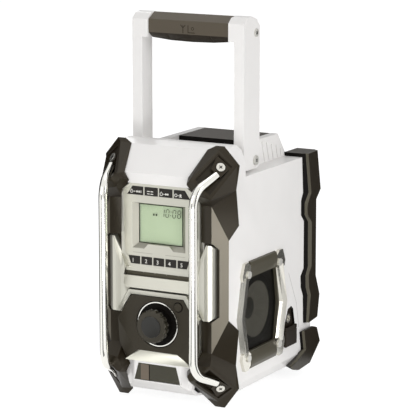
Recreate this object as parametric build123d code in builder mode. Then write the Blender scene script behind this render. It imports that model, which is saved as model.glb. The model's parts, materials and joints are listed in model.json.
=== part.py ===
"""Jobsite radio: a white case with corner bumpers, chrome guard bars, two side
speakers, a keypad front and a carrying handle that folds back over the deck.

Frame: +Z up, the face looks towards -Y, +X is to the right of the face.
The origin is at the bottom centre of the footprint. All sizes are in mm.
"""

from build123d import *
from math import cos, radians, sin
import os

os.makedirs("parts", exist_ok=True)

# ---------------------------------------------------------------- clearances
running = 0.05  # radial gap of a pin or shaft in its bore
gap = 0.3  # gap between pieces that move past each other
key_gap = 0.4  # gap round a key in its opening

# ---------------------------------------------------------------- white case
wall = 3.0
case_half = 76.0  # half the width over the white side walls
case_bottom = 14.0
case_rear = 113.0
cover_thick = 4.0
deck = 248.0  # height of the flat deck beside and behind the hump
head_top = 281.0
head_rear = -48.0  # back of the head, where the deck starts
face = -90.0  # plane of the case front behind the fascia
lip_front = -100.7
lip_bottom = 240.3
brow_front = -104.4
brow_height = 252.4
brow_top_front = -77.0
brow_top = 278.5
ridge_front = -58.0
chin_front = -105.5
chin_top = 48.0
chin_low = 26.0
chin_toe = -92.0
chin_flat = 27.0  # half width of the straight middle of the chin
bevel_foot = 71.0  # half width at the underside
bevel_top = 24.5
shoulder_low = 263.0
shoulder_mid = (71.0, 276.0)
shoulder_top = 64.0
seam_low = 86.0  # heights between which the front seam steps forward
seam_high = 200.0
seam_step = 12.0

# hump over the battery bay
hump_half_top = 50.0
hump_half_foot = 54.5
hump_top = 274.0
hump_rear_top = 79.5
hump_rear_foot = 91.5
trough_floor = 262.0

# ------------------------------------------------------------ corner bumpers
bumper_half = 81.5  # half the overall width
bumper_mid = 143.2  # the bumpers are mirrored about this height
core_share = 0.72  # how far the case fills the inside of a bumper
trim_share = 1.7  # how far the case is trimmed round a bumper
column_ridge = (61.7, -97.7)
column_edge = (78.0, -89.6)
column_inner = (48.2, -94.8)
column_top = 222.5
window_low = 98.0
window_high = 182.5
window_inner = 44.0
window_outer = 69.2
window_step = -92.0  # depth of the step between a cheek and its bumper
foot_flat = 1.2  # how much of the lower tip is cut flat to stand on
rim_width = 3.4
rim_step = 1.0
pocket_depth = 5.0
bumper_screw_head = 4.8
bumper_screw_shank = 2.0
bumper_screw_length = 16.0
bumper_head_thick = 2.6
bumper_head_sink = 2.0

# ---------------------------------------------------------------- guard bars
bar_radius = 4.6
bar_x = 54.3
bar_y = -124.5
bar_bend_z = 240.5
bar_bend_radius = 24.0
bar_end = (63.5, -91.0, 254.7)

# -------------------------------------------------------------------- fascia
fascia_front = -101.0
fascia_wall = 2.5
fascia_half = 47.6
ledge_top = 60.0
fascia_edge = 1.8  # thickness of the fascia's side walls
cheek_front = -99.6
cheek_half = 64.5
cheek_gap = 0.4  # gap round a cheek in its bumper
panel_half = 42.3  # half width of the flat front of the display panel
valley_floor = -98.0  # floor of the hollow between panel and cheek
facet_width = 6.2  # bright edge facet along the top of a cheek
facet_drop = 2.4
band_half = 42.2
band_front = -104.0
rim_front = -105.2
rim_inner = 1.0  # distances of the rim and its groove from the edge of the plate
rim_outer = 5.6
rim_groove = 7.4
rim_groove_floor = -99.4
rim_low = 100.5
plate_front = -105.0
plate_back = -101.0
groove_low = 140.0
groove_high = 149.5
groove_floor = -96.5

# display
window_half = 32.2
display_low = 170.5
display_high = 220.0
glass_half = 26.6
glass_low = 175.8
glass_high = 218.3
glass_front = -96.0
tab_half_low = 17.8
tab_half_high = 13.0

# keys
function_low = 228.1
function_high = 237.5
function_half_low = 38.3
function_half_high = 31.8
function_pitch = 17.7
preset_low = 153.2
preset_high = 162.0
preset_half_low = 34.0
preset_half_high = 37.2
preset_pitch = 14.7
key_web = 1.5
key_proud = 0.8
key_flange = 1.2

# knob
knob_z = 90.5
knob_front = -118.8
knob_radius = 18.2
knob_skirt_radius = 16.8  # smooth part behind the lobed rim
knob_rim = 6.5  # depth of the lobed rim
knob_cap_radius = 11.8
knob_shaft_radius = 3.0
bowl_radius = 25.4
ring_radius = 23.8
ring_wire = 0.55
button_x = 25.6
button_z = 112.0
button_radius = 4.6

# port panel in the chin
port_low = 27.2
port_high = 46.1
port_half_low = 28.2
port_half_high = 23.1
port_depth = 7.0
port_split = -9.5
port_flap_thick = 1.8

# ------------------------------------------------------------------ speakers
speaker_y = -10.0
speaker_z = 95.5
cone_radius = 30.0
baffle_hole = 38.6
grille_half_y = 40.0
grille_half_z = 43.5
grille_back = 72.2
grille_thick = 0.8
bezel_width = 3.0
frame_bolt_y = 36.8
frame_bolt_z = 46.0
clamp_front = 79.5
bolt_front = 81.2

# -------------------------------------------------------------------- handle
pivot_y = -10.6
pivot_z = 259.2
leg_outer = 68.0
leg_inner = 56.0
leg_web = 64.0
leg_front = -37.0
leg_rear = -0.5
leg_step = -15.0
leg_bottom = 250.5
grip_half = 49.0
grip_screw_y = -10.0
grip_screw_z = 396.2
grip_belly = 5.0
pivot_radius = 3.0
pivot_boss_radius = 4.0
handle_head_radius = 5.2
handle_head_thick = 1.8

# -------------------------------------------------------------- battery door
door_half = 41.0
door_front = 17.6
door_wall = 3.0
door_hinge_y = 112.0
door_hinge_z = 176.0
door_rear = 114.5
door_pin_radius = 2.0
bay_floor = 170.0
bay_half = 44.0
bay_wall = 2.5

# ----------------------------------------------------------------- DC inlet
inlet_front = 45.0
inlet_rear = 72.0
inlet_hinge_x = case_half + 1.6
inlet_hinge_z = 60.5
inlet_low = 41.0
inlet_top = 84.0
inlet_depth = 3.5
inlet_lining = 2.5
inlet_pin = 0.7


# ------------------------------------------------------------------- helpers
def front_plane(y):
    """Sketch plane at depth y that faces forward; sketch axes are X and Z."""
    return Plane.XZ.offset(-y)


def side_plane(x):
    """Sketch plane at x that faces right; sketch axes are Y and Z."""
    return Plane.YZ.offset(x)


def mirror_points(points):
    """Close a right-hand outline with its mirror image about the Z axis."""
    return points + [(-x, z) for x, z in reversed(points)]


def on_side(part, side):
    """A right-hand solid, or its mirror image when side is -1."""
    return part if side > 0 else part.mirror(Plane.YZ)


def along_x(points, start, stop, inset=0.0):
    """Prism between two side planes, from a Y-Z outline."""
    with BuildPart() as prism:
        with BuildSketch(side_plane(start)):
            Polygon(*points, align=None)
            if inset:
                offset(amount=-inset, kind=Kind.INTERSECTION)
        extrude(amount=stop - start)
    return prism.part


def along_y(points, front, back, inset=0.0):
    """Prism between two depths, from an X-Z outline."""
    with BuildPart() as prism:
        with BuildSketch(front_plane(back)):
            Polygon(*points, align=None)
            if inset:
                offset(amount=-inset, kind=Kind.INTERSECTION)
        extrude(amount=back - front)
    return prism.part


def block(low, high):
    """Box between two opposite corners."""
    size = [b - a for a, b in zip(low, high)]
    centre = [(a + b) / 2 for a, b in zip(low, high)]
    with BuildPart() as box:
        with Locations(tuple(centre)):
            Box(*size)
    return box.part


def rod(start, direction, radius, length):
    """Cylinder from a point along a direction."""
    with BuildPart() as cylinder:
        with BuildSketch(Plane(origin=start, z_dir=direction)):
            Circle(radius)
        extrude(amount=length)
    return cylinder.part


def largest(part):
    """The biggest solid of a part; the slivers that a cut leaves fall away."""
    return part.solids().sort_by(SortBy.VOLUME)[-1]


def faceted(facets):
    """Solid bounded by flat facets, each given by its corner points."""
    return Solid(Shell([Face(Wire.make_polygon(facet, close=True)) for facet in facets]))


# ------------------------------------------- front bumper: corner points
# Named corners of the upper half of the right-hand bumper.
apex_inner = (55.0, -74.3, 283.3)
apex_outer = (64.5, -74.3, 283.3)
pad_top = (59.4, -78.2, 279.6)
ear = (bumper_half, -72.0, 263.8)
pad_ear = (79.3, -74.7, 262.9)
waist = (79.1, -75.0, 238.0)
hip = (bumper_half, -73.3, 200.0)
hem = (*column_edge, 186.2)
pad_low = (67.0, -110.1, 232.2)
elbow = (*column_ridge, column_top)
armpit = (*column_inner, column_top)
nose_right = (52.8, -112.4, 244.4)
nose_mid = (47.9, -112.2, 249.9)
nose_left = (39.6, -111.5, 246.8)
nose_low = (46.4, -109.6, 236.5)
ridge_low = (43.6, -112.1, 251.6)
brow_edge_top = (46.0, -77.4, 278.7)
brow_edge_low = (38.3, -105.9, 252.6)
lip_edge = (34.9, -102.4, 243.4)
lip_end = (44.8, -99.5, 232.0)
spine_top = (62.0, -72.0, 230.0)
pad_normal = Vector(0.5536, -0.6468, 0.5246)

upper_facets = [
    (apex_inner, pad_top, apex_outer),
    (apex_outer, pad_ear, ear),
    (apex_outer, pad_top, pad_ear),
    (pad_top, nose_mid, pad_ear),
    (pad_top, ridge_low, nose_mid),
    (nose_mid, nose_right, pad_ear),
    (nose_right, pad_low, pad_ear),
    (ridge_low, nose_left, nose_mid),
    (nose_left, nose_low, nose_mid),
    (nose_low, nose_right, nose_mid),
    (nose_low, pad_low, nose_right),
    (brow_edge_top, pad_top, apex_inner),
    (brow_edge_top, ridge_low, pad_top),
    (brow_edge_top, brow_edge_low, ridge_low),
    (brow_edge_low, nose_left, ridge_low),
    (brow_edge_low, lip_edge, nose_left),
    (lip_edge, lip_end, nose_left),
    (lip_end, nose_low, nose_left),
    (lip_end, armpit, nose_low),
    (nose_low, armpit, elbow),
    (nose_low, elbow, pad_low),
    (pad_ear, waist, ear),
    (pad_ear, pad_low, waist),
    (pad_low, elbow, waist),
    (elbow, hip, waist),
    (elbow, hem, hip),
]
upper_border = [
    armpit,
    lip_end,
    lip_edge,
    brow_edge_low,
    brow_edge_top,
    apex_inner,
    apex_outer,
    ear,
    waist,
    hip,
    hem,
]


def bumper_form(share):
    """Right front bumper as a solid that narrows to a spine inside the case."""

    def corner(point, lower):
        moved = [s + share * (p - s) for p, s in zip(point, spine_top)]
        if lower:
            moved[2] = 2 * bumper_mid - moved[2]
            if share == 1 and point in (apex_inner, apex_outer):
                moved[2] = -foot_flat
        return tuple(moved)

    facets = []
    for lower in (False, True):
        for facet in upper_facets:
            facets.append([corner(point, lower) for point in facet])
        for first, second in zip(upper_border, upper_border[1:]):
            facets.append([corner(first, lower), corner(second, lower), corner(spine_top, lower)])
    for first, second in ((elbow, hem), (armpit, elbow), (hem, spine_top), (spine_top, armpit)):
        facets.append([corner(first, False), corner(second, False), corner(second, True), corner(first, True)])
    return faceted(facets)


# ------------------------------------------------------------- case solids
case_side = [
    (chin_toe, case_bottom),
    (chin_front, chin_low),
    (chin_front, chin_top),
    (face, chin_top),
    (face, lip_bottom),
    (lip_front, lip_bottom),
    (brow_front, brow_height),
    (brow_top_front, brow_top),
    (ridge_front, head_top),
    (head_rear, head_top),
    (head_rear, deck),
    (case_rear, deck),
    (case_rear, case_bottom + 8),
    (case_rear - 8, case_bottom),
]
case_end = mirror_points(
    [
        (bevel_foot, case_bottom),
        (case_half, bevel_top),
        (case_half, shoulder_low),
        shoulder_mid,
        (shoulder_top, head_top + 0.5),
    ]
)
hump_start = head_rear - 10
hump_base = deck - 20
hump_side = [
    (hump_start, hump_base),
    (hump_start, hump_top),
    (hump_rear_top, hump_top),
    (hump_rear_foot, deck),
    (hump_rear_foot, hump_base),
]
hump_end = mirror_points([(hump_half_foot, hump_base), (hump_half_foot, deck), (hump_half_top, hump_top)])


def case_block(inset):
    """The case without its bumpers as one solid, smaller all round by inset."""
    with BuildPart() as hump:
        add(along_x(hump_side, -case_half, case_half, inset))
        add(along_y(hump_end, head_rear - 20, case_rear, inset), mode=Mode.INTERSECT)
    with BuildPart() as form:
        add(along_x(case_side, -case_half - 5, case_half + 5, inset))
        add(along_y(case_end, chin_front - 5, case_rear + 5, inset), mode=Mode.INTERSECT)
        for side in (-1, 1):
            with BuildSketch(Plane.XY.offset(case_bottom - 1)):
                Polygon(
                    (side * chin_flat, chin_front - 1 + inset),
                    (side * (case_half + 5), chin_front - 1 + inset),
                    (side * (case_half + 5), face - 4 + inset),
                    (side * (chin_flat + 8), -100 + inset),
                    align=None,
                )
            extrude(amount=chin_top - case_bottom + 2, mode=Mode.SUBTRACT)
            with BuildSketch(Plane.XY.offset(case_bottom - 1)):
                Polygon(
                    (side * (case_half - 4 - inset), face - 20),
                    (side * (case_half + 5), face - 20),
                    (side * (case_half + 5), face + 4 + inset),
                    (side * (case_half - inset), face + 4 + inset),
                    (side * (case_half - 4 - inset), face + inset),
                    align=None,
                )
            extrude(amount=head_top, mode=Mode.SUBTRACT)
        add(hump.part)
    return form.part


case_outer = case_block(0.0)
case_inner = case_block(wall)
bumper_solid = bumper_form(1.0)
core_solid = bumper_form(core_share)
room = 150.0  # reaches past every piece from the centre line
top_room = 300.0
seam_back = face + wall
front_region = along_x(
    [
        (-room, -10),
        (brow_top_front, -10),
        (brow_top_front, seam_low),
        (seam_back, seam_low + seam_step),
        (seam_back, seam_high - seam_step),
        (brow_top_front, seam_high),
        (brow_top_front, top_room),
        (-room, top_room),
    ],
    -room,
    room,
)
cover_front = case_rear - cover_thick
cover_region = block((-room, cover_front, 0), (room, room, top_room))


# ------------------------------------------------------- shared key points
def flip(point):
    """The same place on the lower, mirrored half of the bumpers."""
    return (point[0], point[1], 2 * bumper_mid - point[2])


def inward(lower):
    """Direction from a bumper pad into the case."""
    return Vector(-pad_normal.X, -pad_normal.Y, pad_normal.Z if lower else -pad_normal.Z)


screw_seat = Vector(66.3, -85.5, 263.3) - pad_normal * (rim_step + bumper_head_sink)
bar_path_points = [
    bar_end,
    (bar_x, bar_y, bar_bend_z),
    (bar_x, bar_y, 2 * bumper_mid - bar_bend_z),
    flip(bar_end),
]
with BuildPart() as bar_solid:
    with BuildLine() as bar_path:
        FilletPolyline(*bar_path_points, radius=bar_bend_radius)
    with BuildSketch(Plane(origin=bar_path.line @ 0, z_dir=bar_path.line % 0)):
        Circle(bar_radius)
    sweep()

with BuildPart() as screw_bores:
    for lower in (False, True):
        seat = flip(tuple(screw_seat)) if lower else tuple(screw_seat)
        add(rod(seat, inward(lower), bumper_screw_shank, bumper_screw_length))

grille_outline = [
    (speaker_y - frame_bolt_y + 1, speaker_z + grille_half_z),
    (speaker_y - grille_half_y - 3, speaker_z),
    (speaker_y - frame_bolt_y + 1, speaker_z - grille_half_z),
    (speaker_y + frame_bolt_y - 1, speaker_z - grille_half_z),
    (speaker_y + grille_half_y + 3, speaker_z),
    (speaker_y + frame_bolt_y - 1, speaker_z + grille_half_z),
]
bolt_places = [
    (speaker_y + along * frame_bolt_y, speaker_z + up * frame_bolt_z) for along in (-1, 1) for up in (-1, 1)
]
channel = door_half + gap
port_front = chin_front + 0.3
port_back = chin_front + port_depth
flap_hinge_y = port_front + port_flap_thick / 2
flap_hinge_z = port_low + 0.4 + port_flap_thick / 2
flap_pin = 0.6
port_outline = mirror_points([(port_half_low, port_low), (port_half_high, port_high)])

# ---------------------------------------------------------------- case shell
with BuildPart() as trimmed_case:
    add(case_outer)
    for side in (-1, 1):
        add(on_side(bumper_solid, side), mode=Mode.SUBTRACT)
        add(on_side(bumper_form(trim_share), side), mode=Mode.SUBTRACT)
with BuildPart() as shell:
    add(largest(trimmed_case.part))
    for side in (-1, 1):
        add(on_side(core_solid, side))

with BuildPart() as hollow:
    add(case_inner)
    for side in (-1, 1):
        add(on_side(bumper_solid, side), mode=Mode.SUBTRACT)

baffle_back = 66.0
baffle_front = 69.0
tub_outer = 3.0
with BuildPart() as speaker_tub:
    add(along_x(grille_outline, baffle_back, case_half - wall, -tub_outer))
    add(along_x(grille_outline, baffle_front, case_half), mode=Mode.SUBTRACT)
    with BuildSketch(side_plane(baffle_back)):
        with Locations((speaker_y, speaker_z)):
            Circle(baffle_hole)
    extrude(amount=baffle_front - baffle_back, mode=Mode.SUBTRACT)

bay_front = door_front + door_wall + gap
with BuildPart() as battery_tub:
    add(block((-bay_half - bay_wall, bay_front - 2 * bay_wall, bay_floor - bay_wall), (bay_half + bay_wall, cover_front, hump_top)))
    add(block((-bay_half, bay_front, bay_floor), (bay_half, cover_front, deck - 8)), mode=Mode.SUBTRACT)
    add(block((-channel, bay_front, bay_floor), (channel, cover_front, top_room)), mode=Mode.SUBTRACT)
    add(case_outer, mode=Mode.INTERSECT)

with BuildPart() as trough_tub:
    add(block((-channel - bay_wall, head_rear - bay_wall, trough_floor - bay_wall), (channel + bay_wall, bay_front, hump_top)))
    add(block((-channel, head_rear, trough_floor), (channel, bay_front, top_room)), mode=Mode.SUBTRACT)
    add(case_outer, mode=Mode.INTERSECT)

# ================================================================ the pieces
# Front case: forehead, chin and the wall that carries the controls.
board_window = [(-42, 64), (42, 64), (42, 232), (-42, 232)]
board_y = -79.0
board_half = 47.5  # distance of the board's posts from the middle
board_low = 74.0
board_high = 226.0
post_radius = 3.0
with BuildPart() as front_form:
    add(shell.part)
    add(hollow.part, mode=Mode.SUBTRACT)
    add(front_region, mode=Mode.INTERSECT)
with BuildPart() as front_case:
    add(largest(front_form.part))
    for x in (-board_half, board_half):
        for z in (board_low + 6, board_high - 6):
            add(rod((x, face + 0.5, z), (0, 1, 0), post_radius, board_y - face - 0.5))
    add(along_y(board_window, face - 2, face + wall + 2), mode=Mode.SUBTRACT)
    add(along_y(port_outline, chin_front - 1, chin_front + port_depth), mode=Mode.SUBTRACT)
    for side in (-1, 1):
        add(on_side(bar_solid.part, side), mode=Mode.SUBTRACT)
        add(on_side(screw_bores.part, side), mode=Mode.SUBTRACT)
    add(rod((port_half_high, flap_hinge_y, flap_hinge_z), (1, 0, 0), flap_pin + running, 6.2), mode=Mode.SUBTRACT)
front_case.part.label = "front_case"
export_step(front_case.part, "parts/front_case.step")

# Main case: side walls, underside, deck, hump and the battery bay.
boss_inner = 51.0
bolt_start = 68.0
bolt_radius = 2.0
cell_ledge = 238.5
cell_ledge_half = 27.0
cell_ledge_rear = 51.5
inlet_outline = [
    (inlet_front, inlet_low),
    (inlet_rear, inlet_low),
    (inlet_rear, inlet_hinge_z + 3),
    (68, 80),
    (63, inlet_top),
    (55, 82),
    (inlet_front, inlet_hinge_z + 3),
]
with BuildPart() as main_form:
    add(shell.part)
    add(hollow.part, mode=Mode.SUBTRACT)
    add(front_region, mode=Mode.SUBTRACT)
    add(cover_region, mode=Mode.SUBTRACT)
with BuildPart() as main_case:
    add(largest(main_form.part))
    add(battery_tub.part)
    add(trough_tub.part)
    add(block((-bay_half, bay_front, bay_floor), (bay_half, room, deck - 8)), mode=Mode.SUBTRACT)
    add(block((-channel, bay_front, bay_floor), (channel, room, top_room)), mode=Mode.SUBTRACT)
    add(block((-channel, head_rear, trough_floor), (channel, room, top_room)), mode=Mode.SUBTRACT)
    for side in (-1, 1):
        add(on_side(along_x(grille_outline, baffle_front, case_half + 1), side), mode=Mode.SUBTRACT)
        add(on_side(speaker_tub.part, side))
        boss = rod((boss_inner, pivot_y, pivot_z), (1, 0, 0), pivot_boss_radius, leg_web - gap - boss_inner)
        add(on_side(boss, side))
        bore = rod((boss_inner, pivot_y, pivot_z), (1, 0, 0), pivot_radius, leg_outer - boss_inner)
        add(on_side(bore, side), mode=Mode.SUBTRACT)
        add(on_side(screw_bores.part, side), mode=Mode.SUBTRACT)
        for y, z in bolt_places:
            add(on_side(rod((bolt_start, y, z), (1, 0, 0), bolt_radius, case_half + 1 - bolt_start), side), mode=Mode.SUBTRACT)
    add(along_x(inlet_outline, case_half - inlet_depth - inlet_lining, case_half - wall, -2))
    add(along_x(inlet_outline, case_half - inlet_depth, case_half + 1), mode=Mode.SUBTRACT)
    add(block((-cell_ledge_half, bay_front - 1, cell_ledge - 2.5), (cell_ledge_half, cell_ledge_rear, cell_ledge)))
main_case.part.label = "main_case"
export_step(main_case.part, "parts/main_case.step")

# Back cover: closes the main case behind the battery bay and holds the door.
barrel_radius = 4.0
barrel_half = 25.0
knuckle_end = 33.0
door_low = door_hinge_z + barrel_radius + gap + 0.5
with BuildPart() as back_cover:
    add(case_outer)
    add(cover_region, mode=Mode.INTERSECT)
    add(block((-channel, 0, door_hinge_z - barrel_radius - 1), (channel, room, top_room)), mode=Mode.SUBTRACT)
    for side in (-1, 1):
        with BuildSketch(side_plane(side * (barrel_half + gap))):
            with Locations((door_hinge_y, door_hinge_z)):
                Circle(barrel_radius)
            with Locations((door_hinge_y - 1.5, door_hinge_z - barrel_radius)):
                Rectangle(3, 2 * barrel_radius)
        extrude(amount=side * (knuckle_end - barrel_half - gap))
    add(rod((-knuckle_end, door_hinge_y, door_hinge_z), (1, 0, 0), door_pin_radius, 2 * knuckle_end), mode=Mode.SUBTRACT)
back_cover.part.label = "back_cover"
export_step(back_cover.part, "parts/back_cover.step")

# Battery door: top slab, rear slope and rear panel in one, with its barrel.
door_outline = [
    (door_front, trough_floor + gap),
    (door_front, hump_top - 0.2),
    (hump_rear_top, hump_top - 0.2),
    (hump_rear_foot - 1, deck + 4.5),
    (108, deck + 2.5),
    (door_rear, deck - 5),
    (door_rear, door_low),
    (door_rear - door_wall, door_low),
    (door_rear - door_wall, deck - 6.5),
    (106.5, deck - 0.5),
    (hump_rear_foot - 3, deck + 1.5),
    (hump_rear_top - 2, hump_top - 0.2 - door_wall),
    (door_front + door_wall, hump_top - 0.2 - door_wall),
    (door_front + door_wall, trough_floor + gap),
]
latch_half = 12.0
latch_low = deck - 20.0
latch_height = 12.0
latch_travel = 5.0
latch_sink = 1.5
with BuildPart() as battery_door:
    add(along_x(door_outline, -door_half, door_half))
    with BuildSketch(side_plane(-barrel_half)):
        with Locations((door_hinge_y, door_hinge_z)):
            Circle(barrel_radius)
        Polygon(
            (door_hinge_y, door_hinge_z),
            (door_hinge_y + barrel_radius, door_hinge_z),
            (door_rear, door_hinge_z + 2),
            (door_rear, door_low + 1),
            (door_rear - door_wall, door_low + 1),
            align=None,
        )
    extrude(amount=2 * barrel_half)
    add(
        rod((-barrel_half, door_hinge_y, door_hinge_z), (1, 0, 0), door_pin_radius + running, 2 * barrel_half),
        mode=Mode.SUBTRACT,
    )
    add(
        block(
            (-latch_half - gap, door_rear - latch_sink, latch_low - latch_travel - gap),
            (latch_half + gap, room, latch_low + latch_height + gap),
        ),
        mode=Mode.SUBTRACT,
    )
battery_door.part.label = "battery_door"
export_step(battery_door.part, "parts/battery_door.step")

with BuildPart() as door_pin:
    with BuildSketch(side_plane(-knuckle_end)):
        with Locations((door_hinge_y, door_hinge_z)):
            Circle(door_pin_radius)
    extrude(amount=2 * knuckle_end)
door_pin.part.label = "door_pin"
export_step(door_pin.part, "parts/door_pin.step")

with BuildPart() as door_latch:
    with BuildSketch(side_plane(-latch_half)):
        Polygon(
            (door_rear - latch_sink + gap, latch_low),
            (door_rear + 0.8, latch_low),
            (door_rear + 2.2, latch_low + 4),
            (door_rear + 0.8, latch_low + latch_height),
            (door_rear - latch_sink + gap, latch_low + latch_height),
            align=None,
        )
    extrude(amount=2 * latch_half)
door_latch.part.label = "door_latch"
export_step(door_latch.part, "parts/door_latch.step")

# Battery pack, its terminal block and the two backup cells.
pack_half = 37.0
pack_front = 52.0
pack_rear = 107.0
pack_top = 232.0
with BuildPart() as battery_pack:
    add(block((-pack_half, pack_front, bay_floor), (pack_half, pack_rear, pack_top - 14)))
    add(block((-pack_half + 8, pack_front, pack_top - 14), (pack_half - 8, pack_rear - 6, pack_top)))
    chamfer(battery_pack.edges().filter_by(Axis.Z), length=2.5)
battery_pack.part.label = "battery_pack"
export_step(battery_pack.part, "parts/battery_pack.step")

with BuildPart() as battery_terminal:
    add(block((-22, bay_front, bay_floor), (22, pack_front - 8, pack_top - 12)))
    for x in (-14, -5, 5, 14):
        add(block((x - 0.5, pack_front - 9, bay_floor + 20), (x + 0.5, pack_front - gap, bay_floor + 45)))
battery_terminal.part.label = "battery_terminal"
export_step(battery_terminal.part, "parts/battery_terminal.step")

cell_radius = 7.0
cell_length = 50.0
with BuildPart() as backup_cells:
    for y in (29.0, 44.3):
        add(rod((-cell_length / 2, y, cell_ledge + cell_radius), (1, 0, 0), cell_radius, cell_length - 1.5))
        add(rod((cell_length / 2 - 2, y, cell_ledge + cell_radius), (1, 0, 0), 2.6, 2))
backup_cells.part.label = "backup_cells"
export_step(backup_cells.part, "parts/backup_cells.step")

# -------------------------------------------------------------- the fascia
ledge_corner = (39.2, chin_top + 0.4)
fascia_outline = mirror_points([(39.2, chin_top), (46.5, 66), (fascia_half, 90), (fascia_half, 231), (34.5, lip_bottom)])
plate_outline = mirror_points([(24, ledge_top), ledge_corner, (48.2, 64.8), (48.4, 93.5), (31.6, 120)])
ledge_outline = mirror_points([(39.7, chin_top), ledge_corner, (24, ledge_top)])
cheek_outline = [
    (panel_half, 118),
    (50.5, 101),
    (53, 99),
    (59.5, 99),
    (cheek_half, 103),
    (cheek_half, 177),
    (61, 180.3),
    (55.9, 181),
    (40.5, 149.4),
    (panel_half + 1, groove_low),
]
cheek_section = [
    (38, fascia_front),
    (panel_half, fascia_front),
    (48, cheek_front + 0.5),
    (54, cheek_front),
    (58, cheek_front + 0.7),
    (61.4, cheek_front + 2.5),
    (63.6, cheek_front + 5.2),
    (cheek_half, cheek_front + 8.4),
    (cheek_half, face),
    (38, face),
]
flank_section = [
    (panel_half, fascia_front - 0.1),
    (fascia_half + 1, fascia_front - 0.1),
    (fascia_half + 1, fascia_front + 4.2),
    (fascia_half, fascia_front + 3.5),
    (45.8, fascia_front + 1.2),
]
shoulder_section = [
    (panel_half, fascia_front - 0.1),
    (fascia_half + 1, fascia_front - 0.1),
    (fascia_half + 1, cheek_front + 0.4),
    (48, cheek_front + 0.5),
    (panel_half, fascia_front),
]
valley_outline = [
    (36, groove_high - 0.1),
    (38.1, 155.5),
    (40.5, 164.6),
    (panel_half, 177.5),
    (panel_half, 186),
    (fascia_half + 0.1, 186),
    (55.9, 181),
    (40.5, groove_high - 0.1),
]
valley_back = [(35.2, 147), (35.4, 152.4), (38.4, 163), (41, 170), (41, 186), (fascia_half, 186), (fascia_half, 147)]
groove_outline = mirror_points([(panel_half + 1.2, groove_low), (40.5, groove_high)])
band_outline = mirror_points([(38.7, 126), (38.7, 128.1), (band_half, 131), (band_half, groove_low)])
window_outline = mirror_points([(window_half, display_low), (window_half, display_high)])
glass_outline = mirror_points([(glass_half, glass_low), (glass_half, glass_high)])
tab_outline = mirror_points([(tab_half_low, display_low), (tab_half_high, glass_low)])
function_outline = mirror_points([(function_half_low, function_low), (function_half_high, function_high)])
preset_outline = mirror_points([(preset_half_low, preset_low), (preset_half_high, preset_high)])
function_webs = [k * function_pitch for k in (-1, 0, 1)]
preset_webs = [k * preset_pitch for k in (-1.5, -0.5, 0.5, 1.5)]
fascia_inner = fascia_front + fascia_wall
frame_block = 2.5  # wall round the display window behind the fascia
window_back = glass_front + 1.0
board_front = -95.5
board_back = -94.0
hub_radius = 4.5


# The facet runs down the inner top edge of a cheek, into the groove.
facet_start = Vector(57.6, cheek_front, 178)
facet_end = Vector(47.8, cheek_front, 145.3)
facet_along = (facet_end - facet_start).normalized()
facet_plane = Plane(
    origin=facet_start - facet_along * 10,
    x_dir=facet_along.cross(Vector(0, 1, 0)),
    z_dir=facet_along,
)
facet_length = (facet_end - facet_start).length + 10

cheek_room = along_y(cheek_outline, -140, -80, -cheek_gap)
with BuildPart() as bumper_keepout:
    add(bumper_solid)
    add(cheek_room, mode=Mode.SUBTRACT)
    add(core_solid)


def upright(section, low, high):
    """Prism between two heights, from an X-Y section."""
    with BuildPart() as prism:
        with BuildSketch(Plane.XY.offset(low)):
            Polygon(*section, align=None)
        extrude(amount=high - low)
    return prism.part


def plate_ring(inner, outer, front, back):
    """Band round the upper part of the control plate, between two distances from its edge."""
    with BuildPart() as ring:
        add(along_y(plate_outline, front, back, -outer))
        add(along_y(plate_outline, front - 1, back + 1, -inner), mode=Mode.SUBTRACT)
        add(block((-room, front - 2, rim_low), (room, back + 2, top_room)), mode=Mode.INTERSECT)
    return ring.part


def key_prism(outline, webs, index, front, back, grow=0.0):
    """Prism of one key opening between its webs, larger all round by grow."""
    left = webs[index - 1] + key_web / 2 - grow if index > 0 else -room
    right = webs[index] - key_web / 2 + grow if index < len(webs) else room
    with BuildPart() as cell:
        add(along_y(outline, front, back, -grow))
        add(block((left, front - 1, 0), (right, back + 1, top_room)), mode=Mode.INTERSECT)
    return cell.part


def key_solid(outline, webs, index):
    """One key with the flange that keeps it behind the fascia."""
    flange = fascia_inner + gap
    with BuildPart() as key:
        add(key_prism(outline, webs, index, fascia_front - key_proud, flange + key_flange, -key_gap))
        add(key_prism(outline, webs, index, flange, flange + key_flange, key_gap))
    return key.part


with BuildPart() as window_bevel:
    for y, outline in ((fascia_front, window_outline), (glass_front, glass_outline)):
        with BuildSketch(front_plane(y)):
            Polygon(*outline, align=None)
    loft(ruled=True)

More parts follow.
